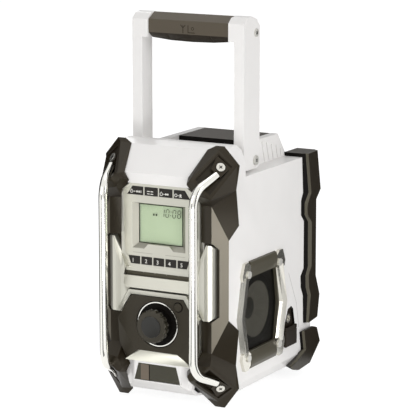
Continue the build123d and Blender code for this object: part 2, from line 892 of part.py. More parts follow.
with BuildPart() as fascia_form:
    add(along_y(fascia_outline, fascia_front, face))
    add(along_y(fascia_outline, fascia_inner, face + 1, fascia_edge), mode=Mode.SUBTRACT)
    add(along_y(window_outline, fascia_inner - 0.5, window_back, -frame_block))
    add(block((-fascia_half + 1, fascia_inner - 0.5, groove_low - 2.5), (fascia_half - 1, groove_floor + 2, groove_high + 2.5)))
    add(window_bevel.part, mode=Mode.SUBTRACT)
    add(along_y(glass_outline, glass_front - 1, face), mode=Mode.SUBTRACT)
    add(along_y(tab_outline, fascia_front, glass_front))
    for side in (-1, 1):
        add(on_side(along_y(valley_back, fascia_inner - 0.5, board_front - 0.7), side))
        add(on_side(upright(flank_section, groove_high, top_room), side), mode=Mode.SUBTRACT)
        add(on_side(upright(shoulder_section, 95, groove_high), side), mode=Mode.SUBTRACT)
        add(on_side(along_y(valley_outline, fascia_front - 5, valley_floor), side), mode=Mode.SUBTRACT)
    add(along_y(groove_outline, fascia_front - 5, groove_floor), mode=Mode.SUBTRACT)
    with BuildPart(mode=Mode.PRIVATE) as band:
        add(along_x([(fascia_front, groove_low), (band_front, 127), (fascia_front, 127)], -room, room))
        add(along_y(band_outline, band_front - 1, fascia_front), mode=Mode.INTERSECT)
    add(band.part)
    with BuildPart(mode=Mode.PRIVATE) as cheek:
        add(along_y(cheek_outline, fascia_front, face))
        add(upright(cheek_section, 90, 190), mode=Mode.INTERSECT)
        with BuildSketch(facet_plane):
            Polygon((0, 0), (-facet_width, -facet_drop), (-facet_width, 8), (0, 8), align=None)
        extrude(amount=facet_length, mode=Mode.SUBTRACT)
    for side in (-1, 1):
        add(on_side(cheek.part, side))
    add(plate_ring(rim_outer, rim_groove, rim_front - 1, rim_groove_floor), mode=Mode.SUBTRACT)
    add(plate_ring(rim_inner, rim_outer, rim_front, fascia_front + 0.5))
    with BuildPart(mode=Mode.PRIVATE) as ledge:
        add(along_y(ledge_outline, plate_front - 1, fascia_front))
        add(
            along_x([(fascia_front, ledge_top), (plate_front, chin_top), (fascia_front, chin_top)], -room, room),
            mode=Mode.INTERSECT,
        )
    add(ledge.part)
    for index in range(len(function_webs) + 1):
        add(key_prism(function_outline, function_webs, index, fascia_front - 1, fascia_inner + 1), mode=Mode.SUBTRACT)
    for index in range(len(preset_webs) + 1):
        add(key_prism(preset_outline, preset_webs, index, fascia_front - 1, fascia_inner + 1), mode=Mode.SUBTRACT)
    for x in (-38.6, 38.6):
        for z in (167.5, 224.0):
            add(rod((x, fascia_inner - 0.5, z), (0, 1, 0), 2.4, board_front - fascia_inner + 0.5))
    add(rod((button_x, rim_front - 1, button_z), (0, 1, 0), button_radius + key_gap, 12), mode=Mode.SUBTRACT)
    add(rod((0, fascia_front - 1, knob_z), (0, 1, 0), hub_radius, 6), mode=Mode.SUBTRACT)
    for side in (-1, 1):
        add(on_side(bumper_keepout.part, side), mode=Mode.SUBTRACT)
with BuildPart() as fascia:
    add(largest(fascia_form.part))
fascia.part.label = "fascia"
export_step(fascia.part, "parts/fascia.step")

# Control plate under the display, folded back at its lower outer corners.
fold_start = Vector(48.5, plate_front, 92)
fold_end = Vector(27.0, plate_front, 60.5)
fold_along = (fold_end - fold_start).normalized()
fold_drop = 0.18
fold_plane = Plane(
    origin=fold_start - fold_along * 15,
    x_dir=fold_along.cross(Vector(0, 1, 0)),
    z_dir=fold_along,
)
bowl_depth = 1.5
with BuildPart() as fold_cut:
    with BuildSketch(fold_plane):
        Polygon((0, 0), (40, -40 * fold_drop), (40, 8), (0, 8), align=None)
    extrude(amount=75)
with BuildPart() as control_plate:
    add(along_y(plate_outline, plate_front, plate_back))
    for side in (-1, 1):
        add(on_side(fold_cut.part, side), mode=Mode.SUBTRACT)
    add(rod((0, plate_front - 1, knob_z), (0, 1, 0), bowl_radius, 1 + bowl_depth), mode=Mode.SUBTRACT)
    add(rod((0, plate_front - 1, knob_z), (0, 1, 0), hub_radius, 6), mode=Mode.SUBTRACT)
    add(rod((button_x, plate_front - 1, button_z), (0, 1, 0), button_radius + key_gap, 6), mode=Mode.SUBTRACT)
control_plate.part.label = "control_plate"
export_step(control_plate.part, "parts/control_plate.step")

with BuildPart() as dial_ring:
    with BuildSketch(front_plane(plate_front + bowl_depth)):
        with Locations((0, knob_z)):
            Circle(ring_radius + ring_wire)
            Circle(ring_radius - ring_wire, mode=Mode.SUBTRACT)
    extrude(amount=1.2 * ring_wire)
dial_ring.part.label = "dial_ring"
export_step(dial_ring.part, "parts/dial_ring.step")

# Display: a glass lens with a rim behind the window, and the module it covers.
with BuildPart() as lcd_lens:
    add(along_y(glass_outline, glass_front, window_back + 0.5, 1.0))
    add(along_y(glass_outline, window_back, window_back + 1.0, -2.5))
lcd_lens.part.label = "lcd_lens"
export_step(lcd_lens.part, "parts/lcd_lens.step")

with BuildPart() as lcd_module:
    add(along_y(glass_outline, window_back + 1.0, window_back + 6.0, -4.0))
    for x in (-24, 24):
        for z in (180, 214):
            add(rod((x, window_back + 5.5, z), (0, 1, 0), 2.0, board_y - window_back - 5.5))
lcd_module.part.label = "lcd_module"
export_step(lcd_module.part, "parts/lcd_module.step")

# Knob, its cap, the encoder behind it and the round button.
knob_lobes = 16
knob_groove = 1.5  # depth of the notches between the lobes
knob_back = plate_front + bowl_depth - key_gap
knob_outline = []
for k in range(10 * knob_lobes):
    turn = radians(36 * k / knob_lobes)
    radius = knob_radius - knob_groove * abs(cos(turn * knob_lobes / 2)) ** 6
    knob_outline.append((radius * cos(turn), radius * sin(turn)))
encoder_back = -88.0
spindle_back = -91.0
with BuildPart() as knob:
    with BuildSketch(front_plane(knob_front + knob_rim)):
        with Locations((0, knob_z)):
            Polygon(*knob_outline, align=None)
    extrude(amount=knob_rim)
    with BuildPart(mode=Mode.INTERSECT):
        with BuildSketch(front_plane(knob_front + knob_rim)):
            with Locations((0, knob_z)):
                Circle(knob_radius + 1)
        extrude(amount=knob_rim)
        chamfer(faces().sort_by(Axis.Y)[0].edges(), length=2.6)
    add(rod((0, knob_front + knob_rim - 1, knob_z), (0, 1, 0), knob_skirt_radius, knob_back - knob_front - knob_rim + 1))
    add(rod((0, knob_front - 1, knob_z), (0, 1, 0), knob_cap_radius, 2), mode=Mode.SUBTRACT)
    add(rod((0, knob_back - 1, knob_z), (0, 1, 0), knob_shaft_radius, spindle_back - knob_back + 1))
knob.part.label = "knob"
export_step(knob.part, "parts/knob.step")

with BuildPart() as knob_cap:
    with BuildSketch(front_plane(knob_front + 1)):
        with Locations((0, knob_z)):
            Circle(knob_cap_radius)
    extrude(amount=1.5)
    chamfer(knob_cap.faces().sort_by(Axis.Y)[0].edges(), length=0.4)
knob_cap.part.label = "knob_cap"
export_step(knob_cap.part, "parts/knob_cap.step")

with BuildPart() as encoder:
    add(block((-7, fascia_inner, knob_z - 7), (7, encoder_back, knob_z + 7)))
    add(rod((0, knob_back + gap, knob_z), (0, 1, 0), hub_radius, fascia_inner - knob_back))
    add(rod((0, knob_back - 1, knob_z), (0, 1, 0), knob_shaft_radius + running, spindle_back + gap - knob_back + 1), mode=Mode.SUBTRACT)
encoder.part.label = "encoder"
export_step(encoder.part, "parts/encoder.step")

button_front = rim_front - 1.2
with BuildPart() as round_button:
    add(rod((button_x, button_front, button_z), (0, 1, 0), button_radius, fascia_inner + gap + key_flange - button_front))
    add(rod((button_x, fascia_inner + gap, button_z), (0, 1, 0), button_radius + 2 * key_gap, key_flange))
round_button.part.label = "round_button"
export_step(round_button.part, "parts/round_button.step")

for index in range(len(function_webs) + 1):
    with BuildPart() as function_key:
        add(key_solid(function_outline, function_webs, index))
    function_key.part.label = f"function_key_{index + 1}"
    export_step(function_key.part, f"parts/function_key_{index + 1}.step")

for index in range(len(preset_webs) + 1):
    with BuildPart() as preset_key:
        add(key_solid(preset_outline, preset_webs, index))
    preset_key.part.label = f"preset_key_{index + 1}"
    export_step(preset_key.part, f"parts/preset_key_{index + 1}.step")

key_board_outline = mirror_points([(42, 152.5), (42, 229), (33, 236.8)])
with BuildPart() as key_board:
    add(along_y(key_board_outline, board_front, board_back))
    add(along_y(window_outline, board_front - 1, board_back + 1, -frame_block - gap), mode=Mode.SUBTRACT)
key_board.part.label = "key_board"
export_step(key_board.part, "parts/key_board.step")

with BuildPart() as main_board:
    add(block((-52, board_y, board_low), (52, board_y + 1.6, board_high)))
main_board.part.label = "main_board"
export_step(main_board.part, "parts/main_board.step")

# ------------------------------------------------------------ front bumpers
pad_plane = Plane(origin=Vector(66.3, -85.5, 263.3), z_dir=pad_normal)
plateau = [(60, -81.8, 274.6), (75.1, -78.8, 262.3), (68.8, -91.5, 253.3), (58.9, -92.9, 262.0)]


def on_pad(points):
    """Corner points as sketch coordinates of the pad plane."""
    local = [pad_plane.to_local_coords(Vector(*p)) for p in points]
    return [(v.X, v.Y) for v in local]


pad_corners = (pad_top, pad_ear, pad_low, nose_right, nose_mid, ridge_low)
with BuildPart() as pad_cut:
    with BuildSketch(pad_plane.offset(-rim_step)):
        Polygon(*on_pad(pad_corners), align=None)
        offset(amount=-rim_width, kind=Kind.INTERSECTION)
    extrude(amount=12)
    with BuildSketch(pad_plane.offset(-pocket_depth)):
        Polygon(*on_pad(pad_corners), align=None)
        offset(amount=-rim_width - 0.8, kind=Kind.INTERSECTION)
        Polygon(*on_pad(plateau), align=None, mode=Mode.SUBTRACT)
    extrude(amount=pocket_depth)
    add(rod(tuple(screw_seat), tuple(pad_normal), bumper_screw_head + 0.8, 8))

column_window = [
    (window_inner, window_high),
    (63, window_high),
    (window_outer, window_high - 6),
    (window_outer, window_low + 6),
    (62, window_low),
    (window_inner, window_low),
]
lower_mirror = Plane.XY.offset(bumper_mid)
with BuildPart() as bumper_body:
    add(bumper_solid)
    add(core_solid, mode=Mode.SUBTRACT)
    add(bar_solid.part, mode=Mode.SUBTRACT)
    add(pad_cut.part, mode=Mode.SUBTRACT)
    add(pad_cut.part.mirror(lower_mirror), mode=Mode.SUBTRACT)
    add(along_y(column_window, -140, window_step), mode=Mode.SUBTRACT)
    add(cheek_room, mode=Mode.SUBTRACT)
    add(screw_bores.part, mode=Mode.SUBTRACT)
    add(block((0, -140, -10), (room, -40, 0)), mode=Mode.SUBTRACT)

side_name = {-1: "left", 1: "right"}
for side in (-1, 1):
    with BuildPart() as front_bumper:
        add(on_side(largest(bumper_body.part), side))
    front_bumper.part.label = f"front_bumper_{side_name[side]}"
    export_step(front_bumper.part, f"parts/front_bumper_{side_name[side]}.step")
    with BuildPart() as guard_bar:
        add(on_side(bar_solid.part, side))
    guard_bar.part.label = f"guard_bar_{side_name[side]}"
    export_step(guard_bar.part, f"parts/guard_bar_{side_name[side]}.step")

with BuildPart() as bumper_screws:
    for side in (-1, 1):
        add(on_side(screw_bores.part, side))
        for lower in (False, True):
            seat = flip(tuple(screw_seat)) if lower else tuple(screw_seat)
            outward = inward(lower) * -1
            add(on_side(rod(seat, tuple(outward), bumper_screw_head, bumper_head_thick), side))
bumper_screws.part.label = "bumper_screws"
export_step(bumper_screws.part, "parts/bumper_screws.step")


# ----------------------------------------------- rear bumpers and rear feet
def ruled(sections):
    """Solid with straight sides through Y-Z outlines at several X positions."""
    with BuildPart() as form:
        for x, points in sections:
            with BuildSketch(side_plane(x)):
                Polygon(*points, align=None)
        loft(ruled=True)
    return form.part


rear_skew = 3.8
rear_edge = [(119.6, 60.2), (124.6, 85.8), (114.4, 109.4), (114.1, 196.9), (125.3, 206.9), (116.3, 252.2)]
# Front edge of the rear bumpers: on the case, along their ridge and on the outer face.
rear_base = [
    (87.5, 252.2),
    (90.9, 207.5),
    (86.0, 199.5),
    (86.2, 182.5),
    (93.6, 174.8),
    (93.6, 121.0),
    (85.9, 113.1),
    (86.7, 100.2),
    (92.2, 90.0),
    (93.4, 58.0),
]
rear_ridge = [
    (90.1, 252.2),
    (98.4, 206.8),
    (88.6, 196.0),
    (88.8, 183.0),
    (97.7, 173.8),
    (98.2, 122.5),
    (91.9, 112.6),
    (92.9, 99.7),
    (97.8, 89.5),
    (94.8, 58.0),
]
rear_outer = [
    (92.8, 251.6),
    (101.3, 205.8),
    (92.8, 195.2),
    (91.8, 183.5),
    (103.0, 172.7),
    (103.2, 122.0),
    (96.2, 112.6),
    (97.0, 99.4),
    (102.1, 88.9),
    (97.5, 57.9),
]
bumper_ridge = bumper_half - 2.3  # where the rear bumpers turn from their front to their outer face
rear_sections = []
for x, front, lean in (
    (54.0, rear_base, rear_skew),
    (case_half, rear_base, rear_skew),
    (bumper_ridge, rear_ridge, 1.2),
    (bumper_half, rear_outer, 0.0),
):
    rear_sections.append((x, front + [(y + lean, z) for y, z in rear_edge]))
foot_sections = [
    (
        48.0,
        [(90, 22), (113, 22), (122, 22), (124, 18), (101, 12), (76, 12), (66, 13), (60, 14), (68, 16), (88, 20)],
    ),
    (
        bumper_ridge,
        [
            (83.8, 51.2),
            (109.1, 51.2),
            (119.5, 48.2),
            (127.6, 30.0),
            (101.8, 9.8),
            (73.0, 7.8),
            (61.0, 11.2),
            (54.3, 17.2),
            (67.6, 21.2),
            (88.6, 29.2),
        ],
    ),
    (
        bumper_half,
        [
            (86, 50.9),
            (109.1, 50.8),
            (118.8, 47.8),
            (126.8, 30.4),
            (101.3, 10.6),
            (73.5, 8.6),
            (62, 12),
            (56, 17),
            (69, 19.5),
            (91, 27.6),
        ],
    ),
]
with BuildPart() as rear_form:
    add(ruled(rear_sections))
    add(case_outer, mode=Mode.SUBTRACT)
with BuildPart() as foot_form:
    add(ruled(foot_sections))
    add(along_y([(24, 0), (36, 0), (62, 11), (62, case_bottom), (24, case_bottom)], 74, 104))
    add(case_outer, mode=Mode.SUBTRACT)
for side in (-1, 1):
    with BuildPart() as rear_bumper:
        add(on_side(largest(rear_form.part), side))
    rear_bumper.part.label = f"rear_bumper_{side_name[side]}"
    export_step(rear_bumper.part, f"parts/rear_bumper_{side_name[side]}.step")
    with BuildPart() as rear_foot:
        add(on_side(largest(foot_form.part), side))
    rear_foot.part.label = f"rear_foot_{side_name[side]}"
    export_step(rear_foot.part, f"parts/rear_foot_{side_name[side]}.step")

# ---------------------------------------------------------------- speakers
bar_waist = 10.0  # how far the frame's side bars bulge at mid height
bar_section = [(case_half, -68), (80.5, -64), (79.5, -55), (case_half, -53)]
clamp_outline = [(12, -6), (14, 0), (8, 13), (0, 13.5), (-6, 8), (-6, -4), (0, -8)]
driver_profile = [
    (34, 0),
    (34, 26),
    (46, 26),
    (61.5, 41),
    (baffle_back, 41),
    (baffle_back, baffle_hole),
    (63.5, baffle_hole),
    (48, 23.1),
    (48, 13.4),
    (37, 13.4),
    (37, 11),
    (50, 11),
    (50, 0),
]
cone_profile = [
    (64, 0),
    (63.2, 6),
    (60.5, 12),
    (69, cone_radius),
    (70, 33.5),
    (69, baffle_hole - gap),
    (68, baffle_hole - gap),
    (68.6, 33.5),
    (67.6, cone_radius + 1),
    (58.9, 13.1),
    (40.5, 13.1),
    (40.5, 11.3),
    (59.5, 11.3),
    (62.6, 6),
    (63.2, 0),
]


def turned(profile):
    """Solid turned about the right-hand speaker axis; profile is X and radius."""
    with BuildPart() as form:
        with BuildSketch(Plane(origin=(0, speaker_y, speaker_z), x_dir=(1, 0, 0), z_dir=(0, 1, 0))):
            Polygon(*[(x, -r) for x, r in profile], align=None)
        revolve(axis=Axis((0, speaker_y, speaker_z), (1, 0, 0)))
    return form.part


def frame_bar(along):
    """Side bar of the speaker frame, bent outward at mid height."""
    with BuildPart() as bar:
        for z, shift in ((speaker_z - 43.5, bar_waist), (speaker_z, 0), (speaker_z + 43.5, bar_waist)):
            with BuildSketch(Plane.XY.offset(z)):
                Polygon(*[(x, speaker_y + along * (speaker_y - y - shift)) for x, y in bar_section], align=None)
        loft(ruled=True)
    return bar.part


with BuildPart() as frame_form:
    for along in (-1, 1):
        add(frame_bar(along))
        for up in (-1, 1):
            y = speaker_y + along * frame_bolt_y
            z = speaker_z + up * frame_bolt_z
            add(along_x([(y + along * a, z + up * b) for a, b in clamp_outline], case_half, clamp_front))
    for y, z in bolt_places:
        add(rod((case_half - 1, y, z), (1, 0, 0), bolt_radius, 6), mode=Mode.SUBTRACT)
        add(rod((clamp_front, y, z), (1, 0, 0), 4.0, 6), mode=Mode.SUBTRACT)
bezel_front = case_half + 0.4
rail_section = [(case_half, 155), (78.5, 154), (80, 150), (80, 144), (78, 140), (77, 137), (74, 137), (74, 139), (case_half, 139)]
with BuildPart() as surround_form:
    add(along_x(grille_outline, grille_back + grille_thick, bezel_front))
    add(along_x(grille_outline, grille_back, bezel_front + 1, bezel_width), mode=Mode.SUBTRACT)
    for up in (-1, 1):
        rail = [(x, speaker_z + up * (z - speaker_z)) for x, z in rail_section]
        add(along_y(rail, speaker_y - 30.5, speaker_y + 30.5))
    add(frame_form.part, mode=Mode.SUBTRACT)
for side in (-1, 1):
    with BuildPart() as speaker_frame:
        add(on_side(frame_form.part, side))
    speaker_frame.part.label = f"speaker_frame_{side_name[side]}"
    export_step(speaker_frame.part, f"parts/speaker_frame_{side_name[side]}.step")
    with BuildPart() as speaker_surround:
        add(on_side(largest(surround_form.part), side))
    speaker_surround.part.label = f"speaker_surround_{side_name[side]}"
    export_step(speaker_surround.part, f"parts/speaker_surround_{side_name[side]}.step")
    with BuildPart() as speaker_grille:
        add(on_side(along_x(grille_outline, grille_back, grille_back + grille_thick), side))
    speaker_grille.part.label = f"speaker_grille_{side_name[side]}"
    export_step(speaker_grille.part, f"parts/speaker_grille_{side_name[side]}.step")
    with BuildPart() as speaker_driver:
        add(on_side(turned(driver_profile), side))
    speaker_driver.part.label = f"speaker_driver_{side_name[side]}"
    export_step(speaker_driver.part, f"parts/speaker_driver_{side_name[side]}.step")
    with BuildPart() as speaker_cone:
        add(on_side(turned(cone_profile), side))
    speaker_cone.part.label = f"speaker_cone_{side_name[side]}"
    export_step(speaker_cone.part, f"parts/speaker_cone_{side_name[side]}.step")

with BuildPart() as frame_screws:
    for side in (-1, 1):
        for y, z in bolt_places:
            add(on_side(rod((bolt_start, y, z), (1, 0, 0), bolt_radius, clamp_front - bolt_start), side))
            add(on_side(rod((clamp_front, y, z), (1, 0, 0), 4.0, bolt_front - clamp_front), side))
frame_screws.part.label = "frame_screws"
export_step(frame_screws.part, "parts/frame_screws.step")

# ------------------------------------------------------------------ handle
leg_top = [(leg_rear, 403.4), (-8, 411), (-20, 414.5), (-30, 413), (leg_front, 407.5)]
head_low = 388.0
antenna_radius = 2.0
grip_shank = 2.0
grip_section = [(-35, 393), (-35, 407.5), (-22, 414.3), (-9, 410.5), (-1, 403), (-1, 392), (-12, 383), (-26, 385)]
with BuildPart() as leg_form:
    add(
        along_x(
            [(leg_front, leg_bottom), (-6.5, leg_bottom), (-2.3, 252.2), (leg_rear, 256.5)] + leg_top,
            leg_web,
            leg_outer,
        )
    )
    add(
        along_x(
            [(leg_front, leg_bottom), (leg_step, leg_bottom), (leg_step, 408), (-20, 414.5), (-30, 413), (leg_front, 407.5)],
            leg_inner,
            leg_outer,
        )
    )
    add(along_x([(leg_front, head_low), (leg_rear, head_low)] + leg_top, grip_half, leg_outer))
    add(rod((leg_web - 1, pivot_y, pivot_z), (1, 0, 0), pivot_radius + running, 6), mode=Mode.SUBTRACT)
    add(rod((grip_half - 1, grip_screw_y, grip_screw_z), (1, 0, 0), grip_shank, 20), mode=Mode.SUBTRACT)
for side in (-1, 1):
    with BuildPart() as handle_leg:
        add(on_side(leg_form.part, side))
    handle_leg.part.label = f"handle_leg_{side_name[side]}"
    export_step(handle_leg.part, f"parts/handle_leg_{side_name[side]}.step")

with BuildPart() as handle_grip:
    for x, drop in ((-grip_half, 0), (-26, 3.9), (0, grip_belly), (26, 3.9), (grip_half, 0)):
        with BuildSketch(side_plane(x)):
            Polygon(*[(y, z - drop if z < 390 else z) for y, z in grip_section], align=None)
    loft(ruled=True)
    add(rod((-44, -20, 398), (1, 0, 0), antenna_radius, 88), mode=Mode.SUBTRACT)
    for side in (-1, 1):
        add(on_side(rod((38, grip_screw_y, grip_screw_z), (1, 0, 0), grip_shank, 12), side), mode=Mode.SUBTRACT)
handle_grip.part.label = "handle_grip"
export_step(handle_grip.part, "parts/handle_grip.step")

with BuildPart() as antenna:
    add(rod((-44, -20, 398), (1, 0, 0), antenna_radius, 88))
antenna.part.label = "antenna"
export_step(antenna.part, "parts/antenna.step")

with BuildPart() as grip_screws:
    for side in (-1, 1):
        add(on_side(rod((38, grip_screw_y, grip_screw_z), (1, 0, 0), grip_shank, leg_outer - 38), side))
        add(on_side(rod((leg_outer, grip_screw_y, grip_screw_z), (1, 0, 0), 4.2, 1.5), side))
grip_screws.part.label = "grip_screws"
export_step(grip_screws.part, "parts/grip_screws.step")

with BuildPart() as pivot_screws:
    for side in (-1, 1):
        add(on_side(rod((boss_inner, pivot_y, pivot_z), (1, 0, 0), pivot_radius, leg_outer + gap - boss_inner), side))
        add(on_side(rod((leg_outer + gap, pivot_y, pivot_z), (1, 0, 0), handle_head_radius, handle_head_thick), side))
pivot_screws.part.label = "pivot_screws"
export_step(pivot_screws.part, "parts/pivot_screws.step")

# ------------------------------------------------- ports in chin and side
flap_start = port_split + gap
with BuildPart() as flap_space:
    add(block((port_split, chin_front - 1, 0), (room, port_back - 2.5, top_room)))
with BuildPart() as port_panel:
    add(along_y(port_outline, port_front, port_back))
    add(flap_space.part, mode=Mode.SUBTRACT)
    add(rod((port_split - 2, flap_hinge_y, flap_hinge_z), (1, 0, 0), flap_pin + running, 3), mode=Mode.SUBTRACT)
    add(block((2, chin_front - 1, 33), (17, port_back + 1, 40)), mode=Mode.SUBTRACT)
port_panel.part.label = "port_panel"
export_step(port_panel.part, "parts/port_panel.step")

with BuildPart() as port_flap:
    add(along_y(port_outline, port_front, port_front + port_flap_thick, gap))
    add(block((flap_start, chin_front - 1, flap_hinge_z), (room, port_back, top_room)), mode=Mode.INTERSECT)
    add(rod((flap_start, flap_hinge_y, flap_hinge_z), (1, 0, 0), port_flap_thick / 2, 36.2))
    add(rod((port_split - 1.7, flap_hinge_y, flap_hinge_z), (1, 0, 0), flap_pin, 40))
port_flap.part.label = "port_flap"
export_step(port_flap.part, "parts/port_flap.step")

with BuildPart() as usb_port:
    add(block((2, port_back - 3.5, 33), (17, port_back + 8, 40)))
    add(block((4, port_back - 4.5, 34.5), (15, port_back - 1, 38.5)), mode=Mode.SUBTRACT)
    add(block((5, port_back - 3.0, 35.2), (14, port_back - 0.5, 36.4)))
usb_port.part.label = "usb_port"
export_step(usb_port.part, "parts/usb_port.step")

with BuildPart() as dc_socket:
    add(along_x(inlet_outline, case_half - inlet_depth, case_half - inlet_depth + 1.0))
    for y in (inlet_front, inlet_rear - 2.5):
        add(block((case_half - inlet_depth, y, inlet_hinge_z - 2.5), (inlet_hinge_x + 1.3, y + 2.5, inlet_hinge_z + 1.5)))
    add(rod((case_half - inlet_depth + 0.5, 57, 71), (1, 0, 0), 5.0, 2.5))
    add(rod((case_half - inlet_depth + 0.8, 57, 71), (1, 0, 0), 3.2, 3), mode=Mode.SUBTRACT)
    add(rod((case_half - inlet_depth + 0.5, 57, 71), (1, 0, 0), 1.0, 2.3))
    add(
        rod((inlet_hinge_x, inlet_front - 1, inlet_hinge_z), (0, 1, 0), inlet_pin + running, 30),
        mode=Mode.SUBTRACT,
    )
dc_socket.part.label = "dc_socket"
export_step(dc_socket.part, "parts/dc_socket.step")

cover_start = inlet_front + 2.5 + gap
cover_stop = inlet_rear - 2.5 - gap
with BuildPart() as dc_cover:
    add(block((inlet_hinge_x - 1.2, inlet_front, 40.2), (inlet_hinge_x + 1.4, inlet_rear, inlet_hinge_z - 2.5 - 2 * gap)))
    add(block((inlet_hinge_x - 1.2, cover_start, inlet_hinge_z - 4), (inlet_hinge_x + 1.2, cover_stop, inlet_hinge_z)))
    add(rod((inlet_hinge_x, cover_start, inlet_hinge_z), (0, 1, 0), 1.2, cover_stop - cover_start))
    add(rod((inlet_hinge_x, inlet_front + 0.4, inlet_hinge_z), (0, 1, 0), inlet_pin, inlet_rear - inlet_front - 0.8))
dc_cover.part.label = "dc_cover"
export_step(dc_cover.part, "parts/dc_cover.step")
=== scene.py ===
# %% [markdown]
# # A jobsite radio, dressed for a product shot
# The solids of this radio were drawn in CAD and packed as a fixed frame. This
# lesson gives each visible piece its finish: it copies the CAD mesh, softens
# its edges as moulding does, and adds the small things that CAD leaves out,
# such as key symbols, screw recesses, the speaker mesh and the display digits.
# Everything is in metres, +Z up, and the face looks towards -Y. Places that are
# easier to read in millimetres are written so and multiplied by `mm`.

import json
from math import cos, pi, radians, sin

import bmesh
import bpy
from mathutils import Matrix, Vector


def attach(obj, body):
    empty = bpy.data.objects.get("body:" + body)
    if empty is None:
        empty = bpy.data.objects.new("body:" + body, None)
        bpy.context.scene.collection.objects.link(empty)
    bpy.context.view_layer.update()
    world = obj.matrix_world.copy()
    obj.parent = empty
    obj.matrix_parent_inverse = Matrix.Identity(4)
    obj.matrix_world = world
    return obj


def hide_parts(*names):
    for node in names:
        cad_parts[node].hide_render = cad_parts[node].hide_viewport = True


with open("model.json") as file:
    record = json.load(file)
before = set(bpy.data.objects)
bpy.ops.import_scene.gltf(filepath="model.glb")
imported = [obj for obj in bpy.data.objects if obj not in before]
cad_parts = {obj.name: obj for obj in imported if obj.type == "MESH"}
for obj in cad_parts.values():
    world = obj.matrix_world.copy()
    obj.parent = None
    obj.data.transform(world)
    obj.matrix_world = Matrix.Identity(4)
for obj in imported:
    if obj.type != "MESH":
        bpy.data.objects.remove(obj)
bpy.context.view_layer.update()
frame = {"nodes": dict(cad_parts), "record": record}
nodes = frame["nodes"]
mm = 0.001
micron = 0.000001

# %% [markdown]
# ## Camera
# The camera stands to the right of the face and a little above it, far away
# behind a long lens, which keeps the upright edges nearly parallel. It comes
# first, so that every later piece can be judged in the same picture.

# %% Camera
camera_place = Vector((1.158488, -2.139370, 0.675035))
camera_target = Vector((-0.009333, 0.030978, 0.190305))
camera_data = bpy.data.cameras.new("camera")
camera_data.sensor_fit = "HORIZONTAL"
camera_data.sensor_width = 36.0
camera_data.lens = 194.06
camera_data.clip_end = 50
camera = bpy.data.objects.new("camera", camera_data)
camera.location = camera_place
camera.rotation_euler = (camera_target - camera_place).to_track_quat("-Z", "Y").to_euler()
bpy.context.scene.collection.objects.link(camera)
bpy.context.scene.camera = camera
print("camera distance", round((camera_place - camera_target).length, 3))

# %% [markdown]
# ## Writing shader maths as Python
# A finish is a small sum: noise times a depth, plus a base roughness. Wiring
# Math nodes by hand hides that sum, so one class wraps a socket and lets
# Python's own operators add the nodes. Any other node comes from one method.


# %% A socket that does arithmetic
class Shade:
    """One output socket of a material, with arithmetic that adds Math nodes."""

    def __init__(self, tree, socket):
        self.tree = tree
        self.socket = socket

    def node(self, kind, settings=None, output=0, **inputs):
        """Adds a node, sets its settings, then its sockets by name or number (i0, i1)."""
        made = self.tree.nodes.new(kind)
        for key, value in (settings or {}).items():
            setattr(made, key, value)
        for key, value in inputs.items():
            numbered = key[0] == "i" and key[1:].isdigit()
            target = made.inputs[int(key[1:]) if numbered else key.replace("_", " ")]
            if isinstance(value, Shade):
                self.tree.links.new(value.socket, target)
            else:
                target.default_value = value
        return Shade(self.tree, made.outputs[output])

    def maths(self, operation, first, second):
        return self.node("ShaderNodeMath", {"operation": operation}, i0=first, i1=second)

    def __add__(self, other):
        return self.maths("ADD", self, other)

    def __mul__(self, other):
        return self.maths("MULTIPLY", self, other)


print("shader maths ready")

# %% [markdown]
# ## Moulded and plated finishes
# Nearly everything here is injection-moulded plastic: a flat colour with a
# very fine spark-eroded grain, slightly uneven gloss and a faint change of
# tone from the flow of the melt. One function makes that family. Metal is the
# same sum with a metallic share, and on the chrome bars the grain is stretched
# into long fine polishing marks.

# %% Helper: a moulded or plated finish
flow_scale = 22.0
coat_roughness = 0.12


def finish(
    name,
    colour,
    rough,
    grain=30,
    scale=900.0,
    mottle=0.04,
    metal=0.0,
    uneven=0.06,
    stretch=(1, 1, 1),
    coat=0.0,
    gloss=0.5,
    tint=(1, 1, 1),
):
    """Material with a base colour, a surface grain (depth in microns) and uneven gloss."""
    material = bpy.data.materials.new(name)
    material.use_nodes = True
    tree = material.node_tree
    shader = tree.nodes["Principled BSDF"]
    start = Shade(tree, shader.outputs[0])
    coords = start.node("ShaderNodeTexCoord", output="Object")
    place = start.node("ShaderNodeMapping", Vector=coords, Scale=stretch)
    fine = start.node("ShaderNodeTexNoise", Vector=place, Scale=scale, Detail=3.0, Roughness=0.6)
    broad = start.node("ShaderNodeTexNoise", Vector=coords, Scale=flow_scale, Detail=2.0)
    mixed = start.node(
        "ShaderNodeMix",
        {"data_type": "RGBA", "blend_type": "MIX"},
        output=2,
        i0=broad,
        i6=tuple(c * (1 - mottle) for c in colour) + (1.0,),
        i7=tuple(min(1.0, c * (1 + mottle)) for c in colour) + (1.0,),
    )
    roughness = fine * uneven + (rough - uneven / 2)
    bump = start.node("ShaderNodeBump", Strength=1.0, Distance=grain * micron, Height=fine)
    tree.links.new(mixed.socket, shader.inputs["Base Color"])
    tree.links.new(roughness.socket, shader.inputs["Roughness"])
    tree.links.new(bump.socket, shader.inputs["Normal"])
    shader.inputs["Metallic"].default_value = metal
    shader.inputs["Coat Weight"].default_value = coat
    shader.inputs["Coat Roughness"].default_value = coat_roughness
    shader.inputs["Specular IOR Level"].default_value = gloss
    shader.inputs["Specular Tint"].default_value = (*tint, 1)
    print("finish", name)
    return material


# %% [markdown]
# ## Families of finish
# Pieces made the same way share a grain, and the dark plastics a warm tint, so
# each family names them once. The colour, roughness and gloss differ by piece.

